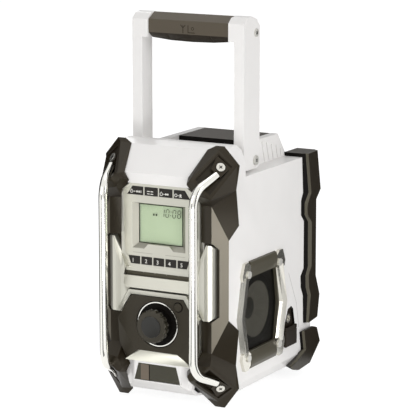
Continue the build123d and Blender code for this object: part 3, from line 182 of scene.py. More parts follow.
# %% The finishes of this radio
warm = (1.0, 0.93, 0.80)
moulded = {"grain": 50, "scale": 700.0, "tint": warm}
rubbery = {"grain": 60, "scale": 600.0, "tint": warm}
painted = {"grain": 4, "scale": 1200.0}
machined = {"grain": 10, "scale": 1500.0}
printed = {"rough": 0.5, "gloss": 0.2}

white_shell = finish("white_shell", (0.83, 0.815, 0.80), 0.34, coat=0.15)
fascia_silver = finish("fascia_silver", (0.60, 0.59, 0.515), 0.30, metal=0.8, **painted)
# A darker copy of the fascia silver: painted shade on the window's sloped sides.
window_bevel_painted_shade = finish("window_bevel_painted_shade", (0.34, 0.33, 0.28), 0.34, metal=0.5, **painted)

dark_moulding = finish(
    "dark_moulding", (0.014, 0.010, 0.005), 0.34, mottle=0.10, gloss=0.36, **moulded
)
# A paler, glossier copy of the dark moulding: a painted highlight on the turned panel of each
# front column.
column_painted_highlight = finish(
    "column_painted_highlight", (0.120, 0.106, 0.080), 0.32, mottle=0.08, gloss=0.6, **moulded
)
# An olive moulding for the speaker surrounds; also painted shade on the slot floor and a painted
# highlight on the outer chamfer of the rear bumpers.
olive_moulding_and_painted_light = finish(
    "olive_moulding_and_painted_light", (0.066, 0.060, 0.042), 0.36, mottle=0.08, gloss=0.4, **moulded
)
plate_moulding = finish(
    "plate_moulding", (0.023, 0.019, 0.012), 0.38, grain=40, mottle=0.08, gloss=0.4, tint=warm
)
dark_rubber = finish(
    "dark_rubber", (0.014, 0.010, 0.006), 0.42, mottle=0.12, gloss=0.3, **rubbery
)
grip_rubber = finish(
    "grip_rubber", (0.082, 0.068, 0.050), 0.40, mottle=0.10, gloss=0.35, **rubbery
)
door_moulding = finish(
    "door_moulding", (0.020, 0.015, 0.009), 0.45, mottle=0.12, gloss=0.2, **rubbery
)
key_black = finish("key_black", (0.012, 0.010, 0.007), 0.36, mottle=0.08, gloss=0.35)
port_grey = finish("port_grey", (0.050, 0.048, 0.036), 0.40, mottle=0.08, gloss=0.35, tint=warm)
port_brown = finish("port_brown", (0.150, 0.122, 0.095), 0.42, mottle=0.08, gloss=0.35, tint=warm)
knob_face = finish("knob_face", (0.020, 0.0195, 0.017), 0.30, mottle=0.05, gloss=0.35)
knob_ring = finish("knob_ring", (0.014, 0.012, 0.007), 0.30, mottle=0.08, gloss=0.6, tint=warm)
# Plain black for dark parts, and also painted shade: it blackens the groove, the bowl behind the
# knob, the knob's skirt, the rear bumper flanks, the door's front wall, the gap round the button
# and the screw recesses.
black_and_painted_shade = finish("black_and_painted_shade", (0.003, 0.0022, 0.0015), 0.6, gloss=0.1)

bar_chrome = finish(
    "bar_chrome",
    (0.84, 0.83, 0.78),
    0.11,
    grain=2,
    scale=300.0,
    metal=1.0,
    uneven=0.03,
    stretch=(8, 8, 0.4),
)
frame_metal = finish("frame_metal", (0.74, 0.72, 0.65), 0.22, grain=2, scale=700.0, metal=1.0)
screw_steel = finish("screw_steel", (0.72, 0.70, 0.64), 0.24, metal=0.9, **machined)
screw_zinc = finish("screw_zinc", (0.60, 0.59, 0.55), 0.35, metal=0.35, **machined)

cone_grey = finish(
    "cone_grey", (0.21, 0.20, 0.16), 0.65, grain=80, scale=1200.0, mottle=0.10, gloss=0.2
)
cone_cap = finish("cone_cap", (0.030, 0.027, 0.019), 0.5, gloss=0.3)
display_green = finish("display_green", (0.51, 0.62, 0.41), 0.5, grain=0.5, mottle=0.01, gloss=0.1)
ink_dark = finish("ink_dark", (0.050, 0.062, 0.038), **printed)
ink_soft = finish("ink_soft", (0.36, 0.345, 0.29), **printed)
ink_white = finish("ink_white", (0.70, 0.69, 0.64), **printed)
crease_shade = finish("crease_shade", (0.50, 0.49, 0.47), **printed)
board_green = finish("board_green", (0.02, 0.11, 0.045), 0.35)
cell_wrap = finish("cell_wrap", (0.10, 0.11, 0.14), 0.3)

# %% [markdown]
# ## Perforated steel
# The speaker is guarded by a black steel sheet punched with rows of small
# holes. Cutting thousands of holes as geometry would be heavy and would look no
# better, so the sheet stays a flat CAD plate and its alpha is punched instead:
# a Voronoi texture with no randomness is a plain grid of distances, and
# turning it by 45 degrees staggers the rows as the punch does.

# %% Punched mesh
hole_pitch = 1.3 * mm
hole_share = 0.47
punch_turn = pi / 4
mesh_black = finish("mesh_black", (0.010, 0.009, 0.006), 0.45, metal=0.3, gloss=0.2)
mesh_tree = mesh_black.node_tree
mesh_shader = mesh_tree.nodes["Principled BSDF"]
mesh_start = Shade(mesh_tree, mesh_shader.outputs[0])
mesh_coords = mesh_start.node("ShaderNodeTexCoord", output="Object")
flat_coords = mesh_start.node(
    "ShaderNodeMapping", Vector=mesh_coords, Rotation=(punch_turn, 0, 0), Scale=(0, 1, 1)
)
holes = mesh_start.node(
    "ShaderNodeTexVoronoi", Vector=flat_coords, Scale=1 / hole_pitch, Randomness=0.0
)
solid_metal = mesh_start.maths("GREATER_THAN", holes, hole_share)
mesh_tree.links.new(solid_metal.socket, mesh_shader.inputs["Alpha"])
print("holes per square cm", round(1e-4 / hole_pitch**2))

# %% [markdown]
# ## Clear window
# The display sits behind a clear lens. Real glass shaders make noise and cost
# time for a sheet this thin, so the lens is mostly see-through, with a gloss
# that catches the studio light.

# %% Lens finish
lens_clear = bpy.data.materials.new("lens_clear")
lens_clear.use_nodes = True
lens_shader = lens_clear.node_tree.nodes["Principled BSDF"]
lens_shader.inputs["Base Color"].default_value = (0.9, 0.95, 0.9, 1)
lens_shader.inputs["Roughness"].default_value = 0.05
lens_shader.inputs["Alpha"].default_value = 0.06
print("finish", lens_clear.name)

# %% [markdown]
# ## Dressing a CAD piece
# A CAD mesh is loose triangles with knife-sharp edges. Nothing moulded is that
# sharp: a radius of about half a millimetre catches a thin line of light along
# every edge, and that line is what makes plastic look real. So a copy of the
# mesh has its corners merged and its flat faces joined, and a Bevel modifier
# rounds what is left. The untouched CAD piece stays hidden beneath it.

# %% Helper: which body a node rides on
node_body = {}
for body_name, members in frame["record"]["behaviour"]["bodies"].items():
    for member in members:
        node_body[member] = body_name

# %% Helper: copy, clean and round a CAD piece
same_corner = 0.02 * mm
flat_angle = radians(0.4)


def settle(obj, body, materials):
    """Links a finished mesh object, gives it its finishes and its body."""
    if obj.name not in bpy.context.scene.collection.objects:
        bpy.context.scene.collection.objects.link(obj)
    for material in materials:
        obj.data.materials.append(material)
    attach(obj, body)
    return obj


def dress(node, *materials, width=0.5, segments=2, paint=None, angle=28.0):
    """A rounded copy of a CAD node; paint(face centre, normal) picks a finish."""
    mesh = nodes[node].data.copy()
    mesh.materials.clear()
    obj = bpy.data.objects.new(node + "_skin", mesh)
    shape = bmesh.new()
    shape.from_mesh(mesh)
    bmesh.ops.remove_doubles(shape, verts=shape.verts, dist=same_corner)
    for face in shape.faces:
        face.smooth = True
        centre = face.calc_center_median() / mm
        face.material_index = paint(centre, face.normal) if paint else 0
    bmesh.ops.dissolve_limit(
        shape,
        angle_limit=flat_angle,
        verts=shape.verts,
        edges=shape.edges,
        delimit={"NORMAL", "MATERIAL"},
    )
    shape.to_mesh(mesh)
    shape.free()
    mesh.set_sharp_from_angle(angle=radians(angle))
    if width:
        rounding = obj.modifiers.new("edge radius", "BEVEL")
        rounding.width = width * mm
        rounding.segments = segments
        rounding.limit_method = "ANGLE"
        rounding.angle_limit = radians(angle)
        rounding.harden_normals = True
        rounding.use_clamp_overlap = True
    settle(obj, node_body[node], materials)
    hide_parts(node)
    return obj


print("dressing ready")

# %% [markdown]
# ## Printed marks, ribs and recesses
# Key numerals, the digits of the clock, screw recesses and low ribs are all the
# same job: flat shapes on a plane that lies on the radio. One helper draws
# bars, dots and rings on a small drawing board, gives them a thickness and
# carries the board to its place. The mesh keeps that place, so the object
# itself stays at the origin as every CAD piece does.


# %% Helper: a drawing board somewhere on the radio
def board(origin, right, up):
    """Matrix of a plane: origin in millimetres, its right and its up."""
    right, up = Vector(right).normalized(), Vector(up).normalized()
    place = Matrix((right, up, right.cross(up))).transposed().to_4x4()
    place.translation = Vector(origin) * mm
    return place


def front_board(depth, x=0, z=0):
    """The plane Y = depth, seen from the front, with X and Z as its axes."""
    return board((x, depth, z), (1, 0, 0), (0, 0, 1))


print("front board looks along", tuple(round(v) for v in front_board(0).col[2][:3]))

# %% Helper: draw marks on a board
circle_segments = 28
font_weight = 0.012


def to_mesh(shape, name):
    """Turns a bmesh into a named mesh and frees it."""
    mesh = bpy.data.meshes.new(name)
    shape.to_mesh(mesh)
    shape.free()
    return mesh


def thicken(shape, depth):
    """Gives flat shapes a thickness in millimetres, with outward normals."""
    bmesh.ops.solidify(shape, geom=shape.faces[:], thickness=-depth * mm)
    bmesh.ops.recalc_face_normals(shape, faces=shape.faces)


def hollow(shape, faces, rim):
    """Cuts the middle out of flat faces and leaves a rim."""
    bmesh.ops.inset_region(shape, faces=faces, thickness=rim * mm, use_boundary=True)
    bmesh.ops.delete(shape, geom=faces, context="FACES")


def draw_mark(shape, kind, x, y, *sizes):
    """One flat bar (width, height, turn), dot (radius) or ring (outer, inner)."""
    before = set(shape.verts)
    if kind == "bar":
        made = bmesh.ops.create_grid(shape, x_segments=1, y_segments=1, size=0.5)["verts"]
        bmesh.ops.scale(shape, vec=(sizes[0] * mm, sizes[1] * mm, 1), verts=made)
        turn = Matrix.Rotation(radians(sizes[2]) if len(sizes) > 2 else 0, 3, "Z")
        bmesh.ops.rotate(shape, cent=(0, 0, 0), matrix=turn, verts=made)
    else:
        made = bmesh.ops.create_circle(
            shape, cap_ends=True, segments=circle_segments, radius=sizes[0] * mm
        )["verts"]
        if kind == "ring":
            disc = list({face for vert in made for face in vert.link_faces})
            hollow(shape, disc, sizes[0] - sizes[1])
    fresh = [vert for vert in shape.verts if vert not in before]
    bmesh.ops.translate(shape, vec=(x * mm, y * mm, 0), verts=fresh)


def marks(name, body, material, place, drawing, depth=0.06, round_over=0.0):
    """A mesh of marks with a thickness, carried to its place on the radio."""
    shape = bmesh.new()
    for mark in drawing:
        draw_mark(shape, *mark)
    thicken(shape, depth)
    mesh = to_mesh(shape, name)
    mesh.transform(place)
    obj = bpy.data.objects.new(name, mesh)
    if round_over:
        rounding = obj.modifiers.new("edge radius", "BEVEL")
        rounding.width = round_over * mm
        rounding.segments = 2
    return settle(obj, body, [material])


def numeral(name, body, material, place, text, height, thick=0.06):
    """A printed character: text made a mesh, then carried to its place."""
    curve = bpy.data.curves.new(name, "FONT")
    curve.body = text
    curve.size = height * mm
    curve.align_x, curve.align_y = "CENTER", "CENTER"
    curve.extrude = thick * mm
    curve.offset = font_weight * height * mm
    holder = bpy.data.objects.new(name + "_text", curve)
    bpy.context.scene.collection.objects.link(holder)
    bpy.context.view_layer.update()
    mesh = bpy.data.meshes.new_from_object(holder)
    bpy.data.objects.remove(holder)
    mesh.name = name
    mesh.materials.clear()
    mesh.transform(place)
    return settle(bpy.data.objects.new(name, mesh), body, [material])


print("marks ready")

# %% [markdown]
# ## White case
# The case is one warm white moulding in three shells. Behind the speaker mesh
# the baffle is black, so faces that lie inside the speaker well take a second,
# dark finish. The paint functions all work this way: they get the centre of a
# face in millimetres and its direction, and return the number of its finish.

# %% Case shells
well_box = ((60, 75.5), (-58, 38), (46, 145))
inlet_box = ((70, 75.9), (44, 73), (40, 85))


def lies_in(centre, box):
    """Whether a point is in a box, which may stand on either side of the middle."""
    (x_low, x_high), (y_low, y_high), (z_low, z_high) = box
    across = x_low < abs(centre.x) < x_high
    return across and y_low < centre.y < y_high and z_low < centre.z < z_high


def case_paint(centre, normal):
    """Black inside the speaker wells and the supply inlet, white elsewhere."""
    in_inlet = centre.x > 0 and lies_in(centre, inlet_box)
    return 1 if in_inlet or lies_in(centre, well_box) else 0


for case_node in ("front_case", "main_case", "back_cover"):
    dress(case_node, white_shell, black_and_painted_shade, width=0.8, paint=case_paint)
print("case dressed")

# %% [markdown]
# ## Ribs on the battery hump and a crease in the side
# Low upright ribs stiffen the sides of the hump behind the handle. They stand
# little more than a millimetre proud, so bars with rounded edges are enough. The
# crease in the right wall is the parting line of the inlet door.

# %% Ribs and crease
hump_side, hump_foot, hump_lean = 53.25, 256, radians(9.8)
rib_width, rib_drop = 4.6, 7
rib_places = ((40, 22), (50.5, 20), (61, 17), (71.5, 13.5), (81, 9))
for side, sign in (("right", 1), ("left", -1)):
    up = (-sign * sin(hump_lean), 0, cos(hump_lean))
    hump_board = board((sign * hump_side, 0, hump_foot), (0, sign, 0), up)
    ribs = [
        ("bar", sign * y, height / 2 - rib_drop, rib_width, height) for y, height in rib_places
    ]
    marks(
        f"hump_ribs_{side}",
        "body",
        white_shell,
        hump_board,
        ribs,
        depth=1.2,
        round_over=0.5,
    )
side_board = board((76.0, 0, 0), (0, 1, 0), (0, 0, 1))
crease = [("bar", 66.0, 103.9, 0.7, 42.8, 27.8), ("bar", 79.3, 70.2, 0.7, 30.4, 12.6)]
marks("side_crease", "body", crease_shade, side_board, crease, depth=0.05)
print("ribs", len(rib_places) * 2)

# %% [markdown]
# ## Fascia and control plate
# The fascia is silver-painted plastic. The slot under the preset keys, the groove
# above the plate and the window's sloped sides are darkened as painted shade, so
# their faces are picked out by where they lie. The control plate below is a dark
# plastic like that of the bumpers.

# %% Fascia, plate and keys
slot_box = ((-1, 48), (-98.5, -95), (139.5, 150))
groove_box = ((-1, 47), (-99.6, -99.2), (98, 128))
window_box = ((-1, 32.3), (-100.9, -96.1), (170.4, 220.1))
knob_height = 90.5
bowl_radius, bowl_front = 23.5, -104.9
plate_face, fascia_face, slot_floor = -105.02, -101.0, -96.5


def fascia_paint(centre, normal):
    """Painted shade: olive in the slot, black in the groove, darker silver on the window's slopes.
    """
    if lies_in(centre, window_box) and normal.y > -0.95:
        return 3
    if lies_in(centre, slot_box):
        return 2
    return 1 if lies_in(centre, groove_box) else 0


def plate_paint(centre, normal):
    """Painted shade: the round bowl behind the knob is painted black."""
    in_circle = centre.x**2 + (centre.z - knob_height) ** 2 < bowl_radius**2
    return 1 if in_circle and centre.y > bowl_front else 0


fascia_finishes = (fascia_silver, black_and_painted_shade, olive_moulding_and_painted_light, window_bevel_painted_shade)
dress("fascia", *fascia_finishes, width=0.45, paint=fascia_paint)
dress("control_plate", plate_moulding, black_and_painted_shade, width=0.6, paint=plate_paint)
dress("round_button", plate_moulding, width=0.4)
for key_node in [n for n in nodes if n.startswith(("function_key", "preset_key"))]:
    dress(key_node, key_black, width=0.35)

gap_shade_ring = [("ring", 25.6, 112, 5.6, 4.65)]
rules = [("bar", -19.5, 165.8, 24, 0.45), ("bar", 20, 165.9, 24, 0.45)]
lip = [("bar", 0, 147.3, 81, 4.4)]
dots = [("dot", x, 143.6, 0.45) for x in (-21.4, -7.3, 6.8, 21.1)]
slot_board = front_board(slot_floor)
# The gap round the round button is a thin black ring of painted shade.
marks("button_gap_shade", "body", black_and_painted_shade, front_board(plate_face), gap_shade_ring)
marks("display_rules", "body", ink_soft, front_board(fascia_face), rules)
marks(
    "slot_lip", "body", fascia_silver, slot_board, lip, depth=4.2, round_over=0.4
)
marks("slot_dots", "body", ink_soft, slot_board, dots)
print("fascia dressed")

# %% [markdown]
# ## Legends on the keys
# The five presets carry plain numerals. The four function keys carry simple
# generic symbols built from bars and rings, printed in the same pale ink.

# %% Legends
key_face = -101.8
preset_centres = (-31.0, -15.0, -1.0, 13.4, 28.0)
preset_height = 157.0
numeral_size = 5.9
for number, x in enumerate(preset_centres, 1):
    place = front_board(key_face, x, preset_height)
    body = f"preset_{number}"
    numeral(
        f"numeral_{number}", body, ink_white, place, str(number), numeral_size
    )
legends = {
    1: [
        ("ring", -32.2, 231.8, 1.9, 1.25),
        ("bar", -32.2, 233.4, 0.7, 2.0),
        ("bar", -28.6, 231.9, 2.0, 0.8),
        ("dot", -25.6, 231.9, 1.1),
        ("dot", -23.0, 231.9, 1.1),
        ("bar", -20.8, 231.9, 0.8, 2.6),
    ],
    2: [("bar", x, z, 3.2, 0.9) for z in (233.0, 230.4) for x in (-11.8, -7.6)],
    3: [
        ("ring", 3.9, 231.6, 1.9, 1.2),
        ("bar", 3.9, 233.6, 0.7, 1.4),
        ("bar", 7.0, 231.7, 1.6, 0.7),
        ("dot", 9.4, 231.7, 1.1),
        ("dot", 11.6, 231.7, 1.1),
    ],
    4: [
        ("ring", 21.4, 231.8, 1.8, 1.1),
        ("bar", 24.2, 231.8, 1.4, 0.7),
        ("dot", 27.0, 232.1, 1.3),
        ("bar", 27.0, 230.4, 3.4, 0.7),
    ],
}
legend_board = front_board(key_face)
for number, drawing in legends.items():
    body = f"function_{number}"
    marks(f"legend_{number}", body, ink_white, legend_board, drawing)
print("legends", len(legends) + len(preset_centres))

# %% [markdown]
# ## Display
# The clock digits are seven-segment figures. Each figure is listed by its lit
# segments, and each segment is a short bar, leaning a little as on most such
# displays. A dark gasket runs round the glass.

# %% Clock digits
segment_bars = {
    "a": (0, 1, True),
    "b": (1, 0.5, False),
    "c": (1, -0.5, False),
    "d": (0, -1, True),
    "e": (-1, -0.5, False),
    "f": (-1, 0.5, False),
    "g": (0, 0, True),
}
lit_segments = {"0": "abcdef", "1": "bc", "8": "abcdefg"}
digits = (("1", 2.2), ("0", 8.0), ("0", 16.2), ("8", 22.2))
digit_half_width, digit_half_height = 1.75, 4.1
digit_middle, digit_lean, digit_turn = 210.1, 0.10, -5.7
flat_bar, upright_bar = (2.5, 0.75), (0.75, 3.2)
clock = []
for figure, x in digits:
    for segment in lit_segments[figure]:
        across, level, flat = segment_bars[segment]
        rise = level * digit_half_height
        centre_x = x + across * digit_half_width + digit_lean * rise
        size, turn = (flat_bar, 0) if flat else (upright_bar, digit_turn)
        clock.append(("bar", centre_x, digit_middle + rise, *size, turn))
clock += [("dot", 12.4, 212.1, 0.5), ("dot", 12.0, 208.2, 0.5)]
clock += [("bar", x, 207.3, 1.9, 2.2) for x in (-8.6, -5.4)]
glass_back = -96.0
marks(
    "clock_digits", "body", ink_dark, front_board(glass_back), clock, depth=0.03
)
print("lit bars", len(clock))

# %% [markdown]
# ## Gasket
# The gasket is a rectangle with its middle cut out, made the same way as the
# rings.

# %% Window gasket
gasket_size, gasket_rim, gasket_thickness = (53.0, 42.4), 0.9, 0.25
window_middle = 197.05
gasket = bmesh.new()
bmesh.ops.create_grid(gasket, x_segments=1, y_segments=1, size=0.5)
bmesh.ops.scale(gasket, vec=(gasket_size[0] * mm, gasket_size[1] * mm, 1), verts=gasket.verts)
hollow(gasket, gasket.faces[:], gasket_rim)
thicken(gasket, gasket_thickness)
gasket_mesh = to_mesh(gasket, "window_gasket")
gasket_mesh.transform(front_board(glass_back, z=window_middle))
gasket_object = bpy.data.objects.new("window_gasket", gasket_mesh)
settle(gasket_object, "body", [black_and_painted_shade])
print("gasket faces", len(gasket_mesh.polygons))

# %% [markdown]
# ## Bumpers, bars, speakers and handle legs
# The corner bumpers are the radio's armour: big flat facets in a dark satin
# plastic. The chrome bars between them are plain tube, so their CAD mesh only
# needs smooth shading. The handle legs are the roundest mouldings here.

# %% Bumpers and bars
outer_wall, chamfer_start = 81.3, 79.25
speaker_middle = (-10, 95.5)
cap_radius, roll_radius = 12, 31
column_low, column_high = 40, 240


def rear_paint(centre, normal):
    """Painted light: black shade on the flank by the case, a pale highlight on the outer chamfer.
    """
    if abs(centre.x) > outer_wall or normal.y > 0.3 or abs(normal.z) > 0.85:
        return 0
    return 2 if abs(centre.x) > chamfer_start else 1


def cone_paint(centre, normal):
    """Dark dust cap in the middle, pale paper cone, black rubber roll outside."""
    y, z = speaker_middle
    radius = ((centre.y - y) ** 2 + (centre.z - z) ** 2) ** 0.5
    return 1 if radius < cap_radius else 2 if radius > roll_radius else 0


def column_paint(centre, normal):
    """Painted highlight: the turned upright panel of each front column is paler and glossier."""
    turned = 0.35 < abs(normal.x) < 0.55 and normal.y < -0.8 and abs(normal.z) < 0.05
    return 1 if turned and column_low < centre.z < column_high else 0


# On the rear bumpers and feet, the flank next to the case is painted black as shade and the outer
# chamfer paler as a painted highlight.
bumper_finishes = (dark_moulding, black_and_painted_shade, olive_moulding_and_painted_light)
cone_finishes = (cone_grey, cone_cap, black_and_painted_shade)
# The turned panel of each front column takes the paler moulding as a painted highlight.
for side in ("left", "right"):
    dress(f"front_bumper_{side}", dark_moulding, column_painted_highlight, width=0.7, paint=column_paint)
    dress(f"rear_bumper_{side}", *bumper_finishes, width=0.4, paint=rear_paint, angle=12)
    dress(f"rear_foot_{side}", *bumper_finishes, width=0.0, paint=rear_paint, angle=14)
    dress(f"guard_bar_{side}", bar_chrome, width=0.0, angle=50)
    dress(f"speaker_frame_{side}", frame_metal, width=0.35, angle=20)
    dress(f"speaker_surround_{side}", olive_moulding_and_painted_light, width=0.4)
    dress(f"speaker_cone_{side}", *cone_finishes, width=0.0, paint=cone_paint, angle=40)
    dress(f"handle_leg_{side}", white_shell, width=3.6, segments=4)
print("bumpers dressed")

# %% [markdown]
# ## Grip, door, knob and ports
# The grip is soft rubber with a belly that the fingers reach round. The CAD
# solid has a deep one, so the points of the underside are moved up by a share
# of their depth. Apart from their rounded edges, the other pieces keep the shape
# that they have in CAD.

# %% Grip, door, knob and ports
door_front = 20
knob_skirt = -112.2
socket_middle, pin_radius_squared = (57, 71), 20
belly_top, belly_share = 0.389, 0.55
port_face, sign_face = -105.2, -35.0


def door_paint(centre, normal):
    """Painted shade: the upright front wall of the battery door, deep in shade, is black."""
    return 1 if normal.y < -0.9 and centre.y < door_front else 0


def grip_paint(centre, normal):
    """Painted shade: the underside of the grip is darker than its front and top."""
    return 1 if normal.z < -0.3 else 0


def knob_paint(centre, normal):
    """Painted shade: only the lobed rim of the knob keeps its finish; its skirt is black."""
    return 1 if centre.y > knob_skirt else 0


def socket_paint(centre, normal):
    """The round contact in the middle of the supply socket is steel."""
    y, z = socket_middle
    return 1 if (centre.y - y) ** 2 + (centre.z - z) ** 2 < pin_radius_squared else 0


# The darker rubber on the underside of the grip is painted shade.
grip = dress(
    "handle_grip", grip_rubber, dark_rubber, width=0.8, segments=3, paint=grip_paint, angle=24
)
for vert in grip.data.vertices:
    if vert.co.z < belly_top:
        vert.co.z = belly_top - (belly_top - vert.co.z) * belly_share
dress("battery_door", door_moulding, black_and_painted_shade, width=0.8, paint=door_paint)
dress("door_latch", dark_rubber, width=0.4)
dress("port_panel", port_grey, width=0.3)
dress("port_flap", port_grey, width=0.3)
dress("dc_cover", dark_rubber, width=0.5)
dress("dc_socket", dark_rubber, screw_steel, width=0.2, paint=socket_paint)
dress("knob", knob_ring, black_and_painted_shade, width=0.25, paint=knob_paint, angle=30)
dress("knob_cap", knob_face, width=0.5, angle=40)

strip = [("bar", -15.1, 36.6, 10.4, 16.8)]
seam = [("bar", -9.95, 36.6, 0.7, 18.2)]
aerial = [
    ("bar", -6.6, 398.4, 0.8, 8.6),
    ("bar", -8.3, 401.6, 0.8, 3.8, 42),
    ("bar", -4.9, 401.6, 0.8, 3.8, -42),
    ("bar", -0.4, 398.6, 0.8, 8.4),
    ("bar", 3.9, 395.0, 8.0, 0.8),
    ("ring", 5.0, 399.4, 1.8, 1.2),
]
port_board = front_board(port_face)
marks("port_strip", "body", port_brown, port_board, strip, depth=0.1)
marks("port_seam", "body", black_and_painted_shade, port_board, seam, depth=0.12)
sign_board = front_board(sign_face)
marks("aerial_sign", "handle", dark_rubber, sign_board, aerial, depth=0.08)
print("small pieces dressed")

# %% [markdown]
# ## Screw heads
# The screws at the corners, in the grip and at the pivots have a cross recess.
# It is drawn on the outer face of each head as a flat black cross, painted shade
# for the hollow. Each face is found from the CAD mesh: split it into its separate
# screws, and take the points that lie furthest out.
# The small bolts of the speaker frame are plain.

# %% Helper: outer faces of a node's separate solids
rim_depth = 0.05 * mm


def head_faces(node, outward):
    """Centre of the outermost face of each solid; outward(centre) is its direction."""
    shape = bmesh.new()
    shape.from_mesh(nodes[node].data)
    bmesh.ops.remove_doubles(shape, verts=shape.verts, dist=same_corner)
    waiting, found = set(shape.verts), []
    while waiting:
        group, edge = set(), [waiting.pop()]
        while edge:
            vert = edge.pop()
            group.add(vert)
            others = [link.other_vert(vert) for link in vert.link_edges]
            edge += [other for other in others if other in waiting]
            waiting -= set(edge)
        centre = sum((vert.co for vert in group), Vector()) / len(group)
        axis = Vector(outward(centre)).normalized()
        reach = max(vert.co.dot(axis) for vert in group)
        rim = [vert.co for vert in group if reach - vert.co.dot(axis) < rim_depth]
        found.append((sum(rim, Vector()) / len(rim), axis))
    shape.free()
    return found


def side_of(value):
    """Which side of the middle a value lies on: 1 or -1."""
    return 1 if value > 0 else -1


print("head finder ready")

# %% [markdown]
# ## Dressing the screws
# The corner screws point out of their slanted pads, so their direction has a
# sign for left and right and one for top and bottom. All others point sideways.
# The plain bolts get no recess, so they need no direction.

# %% Screws
pad_lean = (0.5536, -0.6468, 0.5246)
bumper_middle = 143.2 * mm
# The cross is a flat black mark: painted shade standing in for the hollow recess.
cross = [("bar", 0, 0, 4.4, 1.0, turn) for turn in (40, 130)]


def out_of_pad(centre):
    """The direction of a corner screw."""
    x, y, z = pad_lean
    return side_of(centre.x) * x, y, side_of(centre.z - bumper_middle) * z


def out_sideways(centre):
    """The direction of a screw in a side wall."""
    return side_of(centre.x), 0, 0


screw_sets = {
    "bumper_screws": ("body", screw_steel, out_of_pad),
    "frame_screws": ("body", screw_zinc, None),
    "grip_screws": ("handle", screw_zinc, out_sideways),
    "pivot_screws": ("handle", screw_zinc, out_sideways),
}
for screw_node, (body_name, metal, outward) in screw_sets.items():
    dress(screw_node, metal, width=0.25, angle=35)
    faces = head_faces(screw_node, outward) if outward else []
    for number, (centre, axis) in enumerate(faces, 1):
        up = Vector((0, 0, 1)) - axis * axis.z
        place = board(centre / mm, up.cross(axis), up)
        name = f"{screw_node}_recess_{number}"
        marks(name, body_name, black_and_painted_shade, place, cross, depth=0.05)
print("screw nodes", len(screw_sets))

# %% [markdown]
# ## Pieces inside
# These are hardly seen, so they keep their CAD meshes and only take a finish.


# %% Finishes for the pieces that keep their CAD mesh
def paint_node(node, material):
    """Puts one finish on a CAD node."""
    data = nodes[node].data
    if data.materials:
        data.materials[0] = material
    else:
        data.materials.append(material)
    for index in range(1, len(data.materials)):
        data.materials[index] = material


inside = {
    "lcd_lens": lens_clear,
    "lcd_module": display_green,
    "encoder": screw_steel,
    "key_board": board_green,
    "main_board": board_green,
    "battery_pack": dark_moulding,
    "battery_terminal": black_and_painted_shade,
    "backup_cells": cell_wrap,
    "usb_port": screw_steel,
    "antenna": screw_steel,
    "door_pin": screw_steel,
    "dial_ring": bar_chrome,
}
for side in ("left", "right"):
    inside[f"speaker_driver_{side}"] = black_and_painted_shade
    inside[f"speaker_grille_{side}"] = mesh_black
for node_name, material in inside.items():
    paint_node(node_name, material)
print("painted", len(inside))

# %% [markdown]
# ## Studio
# The radio stands on a plain white floor in a white room with soft lamps. Part
# of the floor's white comes from a glow that only the camera and mirror-like
# surfaces see, so the floor reads as white while it keeps the shadow.

# %% Helper: what the camera, mirrors and glass see
floor_glow = 1.45


def seen_ray(start):
    """1 for camera, glossy and transmitted rays, 0 for those that light things."""
    camera_ray = start.node("ShaderNodeLightPath", output="Is Camera Ray")
    glossy_ray = start.node("ShaderNodeLightPath", output="Is Glossy Ray")
    through_ray = start.node("ShaderNodeLightPath", output="Is Transmission Ray")
    either = start.maths("MAXIMUM", camera_ray, glossy_ray)
    return start.maths("MAXIMUM", either, through_ray)


def stage_sheet(name, mesh_maker, colour, glow=0.0):
    """A flat sheet that isn't part of the object; glow is the share of its own light."""
    shape = bmesh.new()
    mesh_maker(shape)
    mesh = to_mesh(shape, name)
    sheet = bpy.data.objects.new(name, mesh)
    bpy.context.scene.collection.objects.link(sheet)
    material = bpy.data.materials.new(name)
    material.use_nodes = True
    tree = material.node_tree
    shader = tree.nodes["Principled BSDF"]
    shader.inputs["Base Color"].default_value = (*colour, 1)
    shader.inputs["Roughness"].default_value = 0.9
    if glow:
        start = Shade(tree, shader.outputs[0])
        light = start.node("ShaderNodeEmission", Color=(1, 1, 1, 1), Strength=floor_glow)
        share = seen_ray(start) * glow
        blend = start.node("ShaderNodeMixShader", i0=share, i1=start, i2=light)
        tree.links.new(blend.socket, tree.nodes["Material Output"].inputs["Surface"])
    mesh.materials.append(material)
    return sheet


print("stage helpers ready")

# %% [markdown]
# ## Floor and cards
# Polished metal only looks like metal when it has something dark to mirror, so
# dark and grey cards stand round the set as a photographer's flags do. Only
# reflections see them.

# %% Floor and cards
floor_half, floor_drop = 6, 0.5 * mm
card_near, card_far, card_lift = 0.18, 1.7, 0.2 * mm


def floor_shape(shape):
    """A large square just under the feet."""
    bmesh.ops.create_grid(shape, x_segments=1, y_segments=1, size=floor_half)
    bmesh.ops.translate(shape, vec=(0, 0, -floor_drop), verts=shape.verts)


def card_shape(azimuth, spread, high):
    """Lies on the floor as a wedge and stands up at its far end."""

    def make(shape):
        bmesh.ops.create_grid(shape, x_segments=1, y_segments=1, size=0.5)
        for vert in shape.verts:
            reach = card_near if vert.co.y > 0 else card_far
            vert.co.x = 2 * vert.co.x * reach * sin(radians(spread))
            vert.co.y = -reach
            vert.co.z = card_lift
        middle = -(card_near + card_far) / 2
        outer = [edge for edge in shape.edges if all(v.co.y < middle for v in edge.verts)]
        wall = bmesh.ops.extrude_edge_only(shape, edges=outer)["geom"]
        top = [item for item in wall if isinstance(item, bmesh.types.BMVert)]
        bmesh.ops.translate(shape, vec=(0, 0, high), verts=top)
        turn = Matrix.Rotation(radians(azimuth), 3, "Z")
        bmesh.ops.rotate(shape, cent=(0, 0, 0), matrix=turn, verts=shape.verts)

    return make


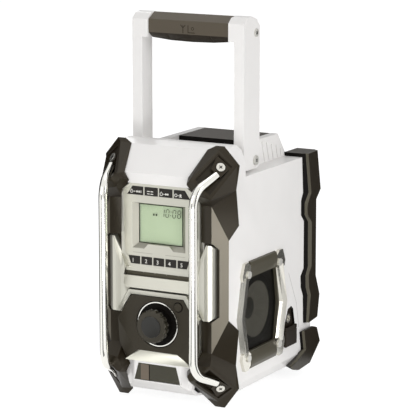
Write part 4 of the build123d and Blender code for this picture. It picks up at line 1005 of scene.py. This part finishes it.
stage_sheet("floor", floor_shape, (0.8, 0.8, 0.8), glow=0.6)
cards = {
    "card_left": (-105, 44, 1.6, 0.02),
    "card_front": (-9, 9, 0.5, 0.18),
    "card_right": (67, 16, 1.6, 0.15),
    "card_back": (154, 17, 1.2, 0.03),
    "card_behind": (-160, 18, 0.8, 0.18),
}
for card_name, (azimuth, spread, high, grey) in cards.items():
    card = stage_sheet(card_name, card_shape(azimuth, spread, high), (grey, grey, grey))
    card.visible_camera = False
    card.visible_diffuse = False
    card.visible_shadow = False
print("cards", len(cards))

# %% [markdown]
# ## Room and lamps
# The camera and the mirrors see a white room, while the light that the room
# sheds is only half as strong. That leaves work for the lamps: a key from the
# front left, a fill from the right, one above, one behind, and a low strip that
# lights the turned panel of the right column.

# %% World and lamps
room_light = 0.50
world = bpy.data.worlds.new("world")
bpy.context.scene.world = world
world.use_nodes = True
sky = world.node_tree.nodes["Background"]
sky_start = Shade(world.node_tree, sky.outputs[0])
sky.inputs["Color"].default_value = (1, 1, 1, 1)
sky_strength = seen_ray(sky_start) * (1 - room_light) + room_light
world.node_tree.links.new(sky_strength.socket, sky.inputs["Strength"])


def soft_lamp(name, place, aim, width, height, power):
    """Rectangular area lamp turned towards a point."""
    data = bpy.data.lights.new(name, "AREA")
    data.shape = "RECTANGLE"
    data.size = width
    data.size_y = height
    data.energy = power
    lamp = bpy.data.objects.new(name, data)
    lamp.location = place
    lamp.rotation_euler = (Vector(aim) - Vector(place)).to_track_quat("-Z", "Y").to_euler()
    lamp.visible_camera = False
    bpy.context.scene.collection.objects.link(lamp)


radio_middle = (0, 0, 0.2)
soft_lamp("key", (-0.6, -2.3, 1.4), radio_middle, 1.2, 1.2, 12)
soft_lamp("fill", (2.4, -0.6, 1.0), radio_middle, 1.4, 1.4, 25)
soft_lamp("top", (0, 0.3, 2.6), radio_middle, 1.6, 1.6, 8)
soft_lamp("back", (-1.9, 1.7, 1.3), radio_middle, 1.4, 1.4, 13)
soft_lamp("low", (0.31, -0.62, 0.08), (0.04, -0.06, 0.14), 0.50, 0.15, 1.3)
bpy.context.scene.view_settings.view_transform = "Standard"
print("lamps ready")
